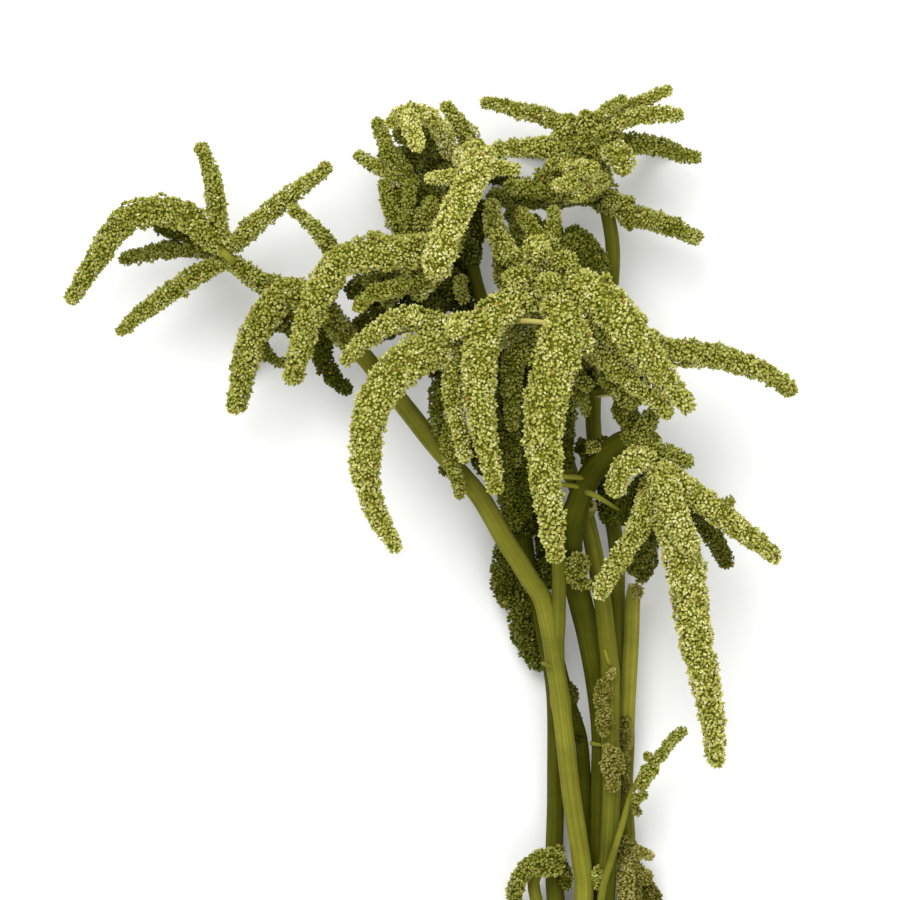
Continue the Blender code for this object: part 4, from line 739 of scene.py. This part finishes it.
HEADS["thick_tuft"] = "tuft_thick", [
    (12.5, 0.33, 0.85, (-15.5, 289.5, 46), (-12.5, 296, 51), (-10.5, 302.5, 52)),
    (6.5, 0.35, 0.8, (-13.5, 289.5, 46), (-7.5, 287.5, 49), (-2.5, 288.5, 49)),
    (10.5, 0.4, 0.8, (-12.5, 303.5, 50), (-9.5, 297, 51), (-11, 290, 50)),
]
HEADS["fork_tuft"] = "tuft_fork", [
    (8, 0.05, 0.7, (-67, 344, 58), (-74.5, 344, 53), (-80.5, 346, 50)),
]
HEADS["middle_crust"] = "crust_middle", [
    (6, 0.8, 0.9, (6, 244.5, 46), (7, 239.5, 46)),
    (7.5, 0.4, 0.8, (3.5, 239.5, 43.5), (1, 234, 43.5), (0.5, 229, 43), (2.5, 223.5, 43), (1.5, 218, 42.5),
     (3, 210, 42)),
    (5.5, 0.25, 0.9, (5, 235, 43), (4.5, 229.5, 43)),
    (5.5, 0.25, 0.9, (5, 221, 42.5), (5.5, 215.5, 42)),
    (9, 0.55, 0.8, (3.5, 206.5, 42), (6, 201.5, 42), (4.5, 195.5, 41.5), (7, 189.5, 41), (6.5, 182.5, 40)),
    (7, 0.45, 0.8, (8.5, 203.5, 41), (10.5, 197.5, 40), (9.5, 190.5, 39.5)),
]
HEADS["right_crust"] = "crust_right", [
    (6.5, 0.35, 0.85, (15, 221, 21.5), (14, 215, 21.5), (14.5, 209, 21), (13, 203, 21),
     (14.5, 195.5, 20.5)),
    (7, 0.4, 0.85, (12, 195.5, 21), (13, 189.5, 21), (11.5, 184.5, 20.5)),
    (6, 0.3, 0.85, (14.5, 187.5, 20), (14, 180.5, 19)),
]
HEADS["rear_crust"] = "crust_rear", [
    (7, 0.1, 0.8, (-14.5, 236.5, 29), (-13, 231.5, 28.5), (-13, 226.5, 28)),
    (6.5, 0.05, 0.8, (-12, 222.5, 27), (-10.5, 217, 26)),
    (6, 0.0, 0.8, (-10, 212, 25), (-8.5, 206, 23.5)),
]
HEADS["middle_tuft"] = None, [
    (7, 0.4, 0.85, (0, 144.5, 31), (0, 138.5, 31), (1, 132.5, 30)),
    (5, 0.3, 0.85, (-1, 141.5, 31), (-3, 137.5, 29)),
]
HEADS["scar_crust"] = None, [
    (5.5, 1.0, 0.9, (18.5, 287, 30), (20, 283.5, 31), (19.5, 279, 30.5)),
]


def unit(vectors):
    """Vectors made one long."""
    return vectors / np.linalg.norm(vectors, axis=-1, keepdims=True)


def spike_width(share, tip):
    """Share of a spike's full radius at shares of its length: a quarter sine from the root's share up
    to full width, then down to the tip's share as one minus a power of the way along."""
    swell = ROOT_SHARE + (1 - ROOT_SHARE) * np.sin(math.pi / 2 * np.minimum(share / FULL_WIDTH_AT, 1))
    beyond = np.maximum(0, share - FULL_WIDTH_AT) / (1 - FULL_WIDTH_AT)
    return swell * (1 - (1 - tip) * beyond ** NARROWING)


def spike_body(points, width, tip):
    """A spike's centre line, its axes, and its radius all along, rounded off at root and tip by the
    circle whose radius is the spike's own there. Lumps on it are sines along it and round it, each
    with a random start."""
    line = smooth_line(points, SPIKE_STEP)
    along, first, second = axes_of(line)
    radius = width / 2 * spike_width(np.linspace(0, 1, len(line)), tip)
    step = np.linalg.norm(line[1] - line[0])
    to_root = np.arange(len(line)) * step
    to_tip = (len(line) - 1 - np.arange(len(line))) * step
    for reach, end in ((to_tip, radius[-1]), (to_root, radius[0])):
        part = np.minimum(reach / end, 1)
        radius = radius * np.sqrt(np.clip(1 - (1 - part) ** 2, LEAST_ROUNDING, 1))
    return {"line": line, "along": along, "first": first, "second": second, "radius": radius,
            "step": step, "starts": random.uniform(0, 2 * math.pi, (2, len(LUMP_LENGTHS)))}


def lumps(body, station, angle):
    """What a spike's radius is multiplied by at stations along it and angles round it."""
    waves = [np.sin(2 * math.pi * station / length + start)
             * np.cos((number + 1) * angle + start_round)
             for number, (length, start, start_round) in enumerate(zip(LUMP_LENGTHS, *body["starts"]))]
    return 1 + LUMP_HEIGHT * sum(waves)


def spike_core(body, tone_and_shade):
    """The thickened rachis under the florets: a closed tube at most of the spike's radius."""
    line = body["line"]
    pick = np.unique(np.append(np.arange(0, len(line), CORE_EVERY), len(line) - 1))
    angle, spoke = spokes(body["first"][pick], body["second"][pick], CORE_SIDES)
    radius = body["radius"][pick, None]
    wall = np.maximum(radius - CORE_DEPTH, radius * CORE_LEAST)
    wall = wall * lumps(body, pick[:, None] * body["step"], angle)
    tube = closed_tube(line[pick, None] + wall[..., None] * spoke, line[0], line[-1])
    return tube, np.tile([*CORE_NUMBERS, tone_and_shade * CORE_TONE], (len(tube[0]), 1))


def cluster_places(body, scale):
    """Places and outward directions of a spike's clusters: even shares of its surface along it, and a
    golden angle further round for each. The outward direction leans as the spike's outline does."""
    slope = np.gradient(body["radius"], body["step"])
    ring_area = 2 * math.pi * body["radius"] * np.sqrt(1 + slope ** 2) * body["step"]
    covered = np.cumsum(ring_area)
    count = max(LEAST_CLUSTERS, int(covered[-1] / (CLUSTER_AREA * scale ** 2)))
    at = np.interp((np.arange(count) + 0.5) / count * covered[-1], covered, np.arange(len(covered)))
    there = np.interp(at, np.arange(len(slope)), body["radius"])
    turn = np.arange(count) * GOLDEN_ANGLE + random.normal(0, CLUSTER_SHIFT, count) / np.maximum(there, 1)

    def look_up(values):
        low = np.clip(at.astype(int), 0, len(values) - 2)
        part = (at - low)[:, None]
        return values[low] * (1 - part) + values[low + 1] * part

    spoke = np.cos(turn)[:, None] * look_up(body["first"]) + np.sin(turn)[:, None] * look_up(body["second"])
    lean = np.interp(at, np.arange(len(slope)), slope)[:, None]
    outward = unit(spoke - lean * look_up(body["along"]))
    sunk = CLUSTER_DEPTH + np.clip(random.normal(0, CLUSTER_UNEVEN, count), *CLUSTER_REACH)
    radius = there * lumps(body, at * body["step"], turn) - scale * sunk
    return look_up(body["line"]) + radius[:, None] * spoke, outward, look_up(body["along"])


def bud_shape():
    """A bud as a double pyramid: a ring of points at its widest, a pointed tip above, a root below."""
    here = np.arange(BUD_SIDES)
    angle = here * 2 * math.pi / BUD_SIDES
    ring = np.column_stack([np.cos(angle) / 2, np.sin(angle) / 2, np.full(BUD_SIDES, BUD_RING)])
    after = (here + 1) % BUD_SIDES
    top = np.column_stack([here, after, np.full(BUD_SIDES, BUD_SIDES)])
    bottom = np.column_stack([after, here, np.full(BUD_SIDES, BUD_SIDES + 1)])
    return np.vstack([ring, (0, 0, BUD_TIP), (0, 0, BUD_ROOT)]), np.vstack([top, bottom])


def florets(places, outward, along, scale, tone_and_shade):
    """Buds of the clusters at the given places. In each cluster one bud stands outward and the rest
    lean out round it, all on a small dome sunk in the spike. No two buds are quite alike: every
    point of a bud is moved along its spoke at random. Colour numbers: height in the bud, the bud's
    own tone, the cluster's, the spike's."""
    count = len(places)
    across = unit(np.cross(outward, along + NUDGE))
    onward = np.cross(outward, across)
    leaning = BUDS_IN_CLUSTER - 1
    turn = (random.uniform(0, 2 * math.pi, (count, 1)) + np.arange(leaning) * 2 * math.pi / leaning
            + random.normal(0, BUD_TURN_UNEVEN, (count, leaning)))
    tilt = BUD_TILT + random.normal(0, BUD_TILT_UNEVEN, turn.shape)
    turn = np.concatenate([turn[:, :1], turn], axis=1)[..., None]
    tilt = np.concatenate([random.normal(0, BUD_TILT_UNEVEN, (count, 1)), tilt], axis=1)[..., None]
    side = np.cos(turn) * across[:, None] + np.sin(turn) * onward[:, None]
    lean = np.cos(tilt) * outward[:, None] + np.sin(tilt) * side
    dome = CLUSTER_RADIUS * scale * random.uniform(*CLUSTER_SIZES, (count, 1, 1))
    centre = places[:, None] + dome * lean - outward[:, None] * CLUSTER_RADIUS * scale
    centre = centre.reshape(-1, 3)
    axis = unit(lean.reshape(-1, 3) + random.normal(0, BUD_TWIST, centre.shape))
    shape, faces = bud_shape()
    wide = unit(np.cross(axis, random.normal(0, 1, centre.shape)))
    deep = np.cross(axis, wide)
    size = scale * random.uniform(*BUD_SIZES, (len(centre), 1, 1))
    spoke = shape[None, :, :1] * wide[:, None] + shape[None, :, 1:2] * deep[:, None]
    uneven = random.uniform(1 - BUD_UNEVEN, 1 + BUD_UNEVEN, (len(centre), len(shape), 1))
    vertices = centre[:, None] + BUD_WIDTH * size * uneven * spoke
    vertices = vertices + BUD_LENGTH * size * shape[None, :, 2:] * axis[:, None]
    triangles = faces[None] + len(shape) * np.arange(len(centre))[:, None, None]
    # Height in the bud, 0 at its root and 1 at its tip: the material pales the tips, the bracts' own
    # colour, and darkens the roots as painted shade between the buds.
    heights = np.array([0.5] * BUD_SIDES + [1.0, 0.0])[None]
    own = random.uniform(0, 1, (len(centre), 1))
    group = np.repeat(random.uniform(0, 1, (count, 1)), BUDS_IN_CLUSTER, axis=0)
    numbers = np.stack(np.broadcast_arrays(heights, own, group, tone_and_shade), axis=-1)
    return (vertices.reshape(-1, 3), triangles.reshape(-1, 3)), numbers.reshape(-1, 4)


def outside(places, bodies, own):
    """Which places aren't buried in another spike: nearer to its line than most of its radius."""
    shown = np.ones(len(places), bool)
    for number, body in enumerate(bodies):
        if number == own:
            continue
        line, radius = body["line"][::BURIED_EVERY], body["radius"][::BURIED_EVERY] * BURIED
        near = (places > line.min(axis=0) - radius.max()).all(axis=1) & (
            places < line.max(axis=0) + radius.max()).all(axis=1) & shown
        if near.any():
            gaps = np.linalg.norm(places[near, None] - line[None], axis=2) - radius
            shown[near] = gaps.min(axis=1) > 0
    return shown


def grow_head(spikes):
    """Meshes and colour numbers of a head: for each spike, its core and the clusters that show."""
    bodies = [spike_body(points, width, tip) for width, _, tip, *points in spikes]
    grown = []
    for number, (width, tone_and_shade, *_) in enumerate(spikes):
        scale = (width / USUAL_WIDTH) ** SCALE_POWER
        grown.append(spike_core(bodies[number], tone_and_shade))
        places, outward, along = cluster_places(bodies[number], scale)
        shown = outside(places, bodies, number)
        if shown.any():
            grown.append(florets(places[shown], outward[shown], along[shown], scale, tone_and_shade))
    return grown


def floret_mosaic():
    """Group of both floret materials. Mosaic: a bud's height, its own tone and its cluster's, and two
    sizes of noise, added up; low heights give painted shade at the buds' roots. Shade: by the spike's
    tone, partly its own green and partly painted shade and light: dark olive on spikes deep in the
    bunch, white on lit ones, brighter than white on those in front. Dry: a mask of the few buds that
    have withered."""
    tree, given, result, add, link = new_group(
        "floret_mosaic", {"Growth": "Color", "Tone": "Float"},
        {"Mosaic": "Float", "Shade": "Color", "Dry": "Float"})
    numbers = add("ShaderNodeSeparateColor", Color=given["Growth"]).outputs
    place = add("ShaderNodeTexCoord").outputs["Object"]
    bracts = add("ShaderNodeTexNoise", Vector=place, Scale=760.0, Detail=2.0, Roughness=0.7)
    patches = add("ShaderNodeTexNoise", Vector=place, Scale=210.0, Detail=2.0)
    total = None
    for source, weight, shift in ((numbers["Red"], 0.5, 0.0), (numbers["Green"], 0.26, -0.13),
                                  (numbers["Blue"], 0.24, -0.12), (bracts.outputs["Fac"], 1.35, -0.545),
                                  (patches.outputs["Fac"], 0.85, -0.425)):
        part = add("ShaderNodeMath", operation="MULTIPLY_ADD", _0=source, _1=weight, _2=shift).outputs[0]
        total = add("ShaderNodeMath", _0=total, _1=part).outputs[0] if total else part
    # Painted shade and light by the spike's tone: dark olive on spikes deep in the bunch, above white on
    # those in front.
    shade = ramp(add, given["Tone"], (0.0, (0.17, 0.185, 0.07)), (0.35, (0.64, 0.65, 0.56)),
                 (0.6, (0.88, 0.88, 0.95)), (1.0, (1.13, 1.1, 1.5)))
    dry = add("ShaderNodeMath", operation="GREATER_THAN", _0=numbers["Green"], _1=0.988).outputs[0]
    for output, socket in ((total, "Mosaic"), (shade, "Shade"), (dry, "Dry")):
        link(output, result[socket])
    return tree


def floret_material(name, *stops):
    """Florets: a fine mosaic of dark green gaps, darkened further as painted shade, yellow-green bracts
    and pale cream tips, with painted shade on the spikes deep in the bunch and painted light on those
    in front, and a few buds dry and orange-brown."""
    material, shader, add, link = new_material(name, 0.6)
    growth = add("ShaderNodeAttribute", attribute_name="growth").outputs
    masks = add("ShaderNodeGroup", node_tree=mosaic, Growth=growth["Color"], Tone=growth["Alpha"]).outputs
    shaded = mixed(add, 1.0, ramp(add, masks["Mosaic"], *stops), masks["Shade"], "MULTIPLY")
    link(mixed(add, masks["Dry"], shaded, (0.34, 0.21, 0.05, 1)), shader["Base Color"])
    return material


mosaic = floret_mosaic()
green_florets = floret_material(
    "green_florets", (0.0, (0.12, 0.125, 0.007)), (0.3, (0.31, 0.32, 0.036)), (0.55, (0.49, 0.49, 0.11)),
    (0.78, (0.66, 0.65, 0.23)), (1.0, (0.84, 0.82, 0.5)))
dry_florets = floret_material(
    "dry_florets", (0.0, (0.14, 0.13, 0.012)), (0.3, (0.24, 0.22, 0.035)), (0.55, (0.33, 0.3, 0.07)),
    (0.78, (0.43, 0.4, 0.13)), (1.0, (0.56, 0.53, 0.26)))
for head_name, (node, spikes) in HEADS.items():
    grown = grow_head(spikes)
    sizes = [sum(len(face) * (face.shape[1] - 2) for face in faces) for (_, *faces), _ in grown]
    batch = np.cumsum(sizes) // PIECE_LIMIT
    for number in range(int(batch[-1]) + 1):
        make_piece(head_name if number == 0 else f"{head_name}_{number + 1}",
                   [item for item, where in zip(grown, batch) if where == number],
                   dry_florets if head_name in DRY_HEADS else green_florets, "seed_green",
                   *([node] if node else []), smooth=False)

# The tie. Three turns of twisted natural cord round all the stems, knotted on top, its two ends
# frayed. The photograph stops above it, so its place is a guess: where such bunches are tied.
TIE_Y = 87
CORD_RADIUS = 1.08
CORD_STEP = 0.8
CORD_PITCH = 2.1
CORD_TURNS = 3
CORD_GAP = 0.55
WAYS_ROUND = 16
STRANDS = 3
STRAND_DEPTH = 0.2
STRAND_TWIST = 0.95
CORD_SIDES = 18
END_CREST = 0.2
FIBRES = 9
FIBRE_SIDES = 4
FIBRE_STEP = 0.6
FIBRE_SPREAD = 0.32
FIBRE_LENGTHS = (2.5, 4.5)
FIBRE_BEND_AT = 1.2
FIBRE_RADII = (0.22, 0.06)
FIBRE_CREST = 0.9
# Knot and loose ends as points from the highest point of the turns
KNOT = (
    ((-6, -6, -0.6), (-2.4, -1.6, 1.9), (2.4, 1.6, 1.1), (6, 6, -0.6)),
    ((-6.5, 4.6, -0.6), (-2.4, 1.4, 0.7), (2.4, -1.4, 2.1), (6.5, -4.6, -0.6)),
)
LOOSE_ENDS = (((0, 0, 1.5), (-9, 4, 4), (-19, 2, 1.5)), ((0, 0, 1.5), (9, -4, 3.5), (17, -6, -1)))
# The knot's loop: middle, reach up and down, reach to the sides as a share of it, radians, points
LOOP_MIDDLE = (1.4, 0, 0.9)
LOOP_REACH = 2.5
LOOP_SIDE = 0.7
LOOP_TURN = 2.3 * math.pi
LOOP_POINTS = 12


def tie_line():
    """The cord's centre line: for each way round, the stem that reaches furthest that way at the tie,
    passed at its radius plus a small gap and half a cord, while the line climbs one pitch a turn."""
    crossing = []
    for _, points, start_radius, end_radius, _, _ in STEMS.values():
        line = smooth_line(points, 1.0)
        share = (TIE_Y - line[0, 1]) / (line[-1, 1] - line[0, 1])
        crossing.append([np.interp(TIE_Y, line[:, 1], line[:, 0]), np.interp(TIE_Y, line[:, 1], line[:, 2]),
                         start_radius + (end_radius - start_radius) * share])
    x, z, radius = np.array(crossing).T
    turn = np.arange(CORD_TURNS * WAYS_ROUND + 1) / WAYS_ROUND
    way = np.column_stack([np.sin(2 * math.pi * turn), np.cos(2 * math.pi * turn)])
    outermost = (way @ np.vstack([x, z]) + radius).argmax(axis=1)
    out = radius[outermost] + CORD_GAP + CORD_RADIUS
    height = TIE_Y + (turn - CORD_TURNS / 2) * CORD_PITCH
    return np.column_stack([x[outermost] + way[:, 0] * out, height, z[outermost] + way[:, 1] * out])


def twisted_cord(points):
    """A laid cord: a tube whose radius swells by the cosine of each strand's angle, the strands winding
    round evenly along it. Colour numbers: height on the strand, share of the way round that winds
    with the strands, length in metres, and 1, which nothing reads."""
    line = smooth_line(points, CORD_STEP)
    _, first, second = axes_of(line)
    length = np.arange(len(line)) * np.linalg.norm(line[1] - line[0])
    angle, spoke = spokes(first, second, CORD_SIDES)
    winding = angle[None] - STRAND_TWIST * length[:, None]
    crest = np.abs(np.cos(STRANDS / 2 * winding))
    wall = CORD_RADIUS * (1 - STRAND_DEPTH / 2 + STRAND_DEPTH * crest)
    run = length[:, None] * MM
    numbers = np.stack(np.broadcast_arrays(crest, winding / (2 * math.pi), run, 1), axis=-1)
    ends = np.array([[END_CREST, 0, 0, 1], [END_CREST, 0, length[-1] * MM, 1]])
    return (closed_tube(line[:, None] + wall[..., None] * spoke, line[0], line[-1]),
            np.vstack([numbers.reshape(-1, 4), ends]))


def frayed(end, way):
    """Loose fibres at a cord's end: thin tapering tubes that start inside it and fan out a little, each
    of one colour, taken from anywhere along the cord."""
    grown = []
    for spread in random.normal(0, FIBRE_SPREAD, (FIBRES, 2, 3)):
        tip = end + random.uniform(*FIBRE_LENGTHS) * (way + spread.sum(axis=0))
        line = smooth_line([end - way, end + FIBRE_BEND_AT * (way + spread[0]), tip], FIBRE_STEP)
        _, first, second = axes_of(line)
        _, spoke = spokes(first, second, FIBRE_SIDES)
        wall = np.linspace(*FIBRE_RADII, len(line))[:, None, None]
        tube = closed_tube(line[:, None] + wall * spoke, line[0], line[-1])
        grown.append((tube, np.tile([FIBRE_CREST, 0.5, random.uniform(), 1], (len(tube[0]), 1))))
    return grown


def cord_material():
    """Natural jute cord: straw-brown fibres that run with the strands, and painted shade between the
    strands.
    """
    material, shader, add, link = new_material("jute_cord", 0.85)
    growth = add("ShaderNodeAttribute", attribute_name="growth").outputs["Color"]
    crest = add("ShaderNodeSeparateColor", Color=growth).outputs["Red"]
    fibre = add("ShaderNodeGroup", node_tree=streaks, Growth=growth, Round=42.0, Along=220.0,
                Detail=3.0).outputs["Streak"]
    straw = ramp(add, fibre, (0.3, (0.2, 0.12, 0.045)), (0.5, (0.36, 0.25, 0.115)),
                 (0.72, (0.52, 0.4, 0.22)))
    # Painted shade in the grooves between the strands, where the crest number is low.
    groove_shade = ramp(add, crest, (0.0, (0.35, 0.3, 0.26)), (0.45, (1.0, 1.0, 1.0)))
    link(mixed(add, 1.0, straw, groove_shade, "MULTIPLY"), shader["Base Color"])
    bump = add("ShaderNodeBump", Height=fibre, Strength=0.5, Distance=0.0003)
    link(bump.outputs["Normal"], shader["Normal"])
    return material


turns = tie_line()
knot_place = turns[turns[:, 2].argmax()] * (1, 0, 1) + (0, TIE_Y, 0)
round_knot = np.linspace(0, LOOP_TURN, LOOP_POINTS)
sideways = LOOP_REACH * LOOP_SIDE * np.cos(round_knot)
loop = np.column_stack([sideways, -sideways, LOOP_REACH * np.sin(round_knot)]) + LOOP_MIDDLE
cords = [twisted_cord(turns)]
cords += [twisted_cord(knot_place + np.array(part)) for part in (*KNOT, loop, *LOOSE_ENDS)]
for loose_end in LOOSE_ENDS:
    way = np.subtract(loose_end[-1], loose_end[-2])
    cords += frayed(knot_place + loose_end[-1], way / np.linalg.norm(way))
make_piece("tie_cord", cords, cord_material(), "tie_cord", "tie")
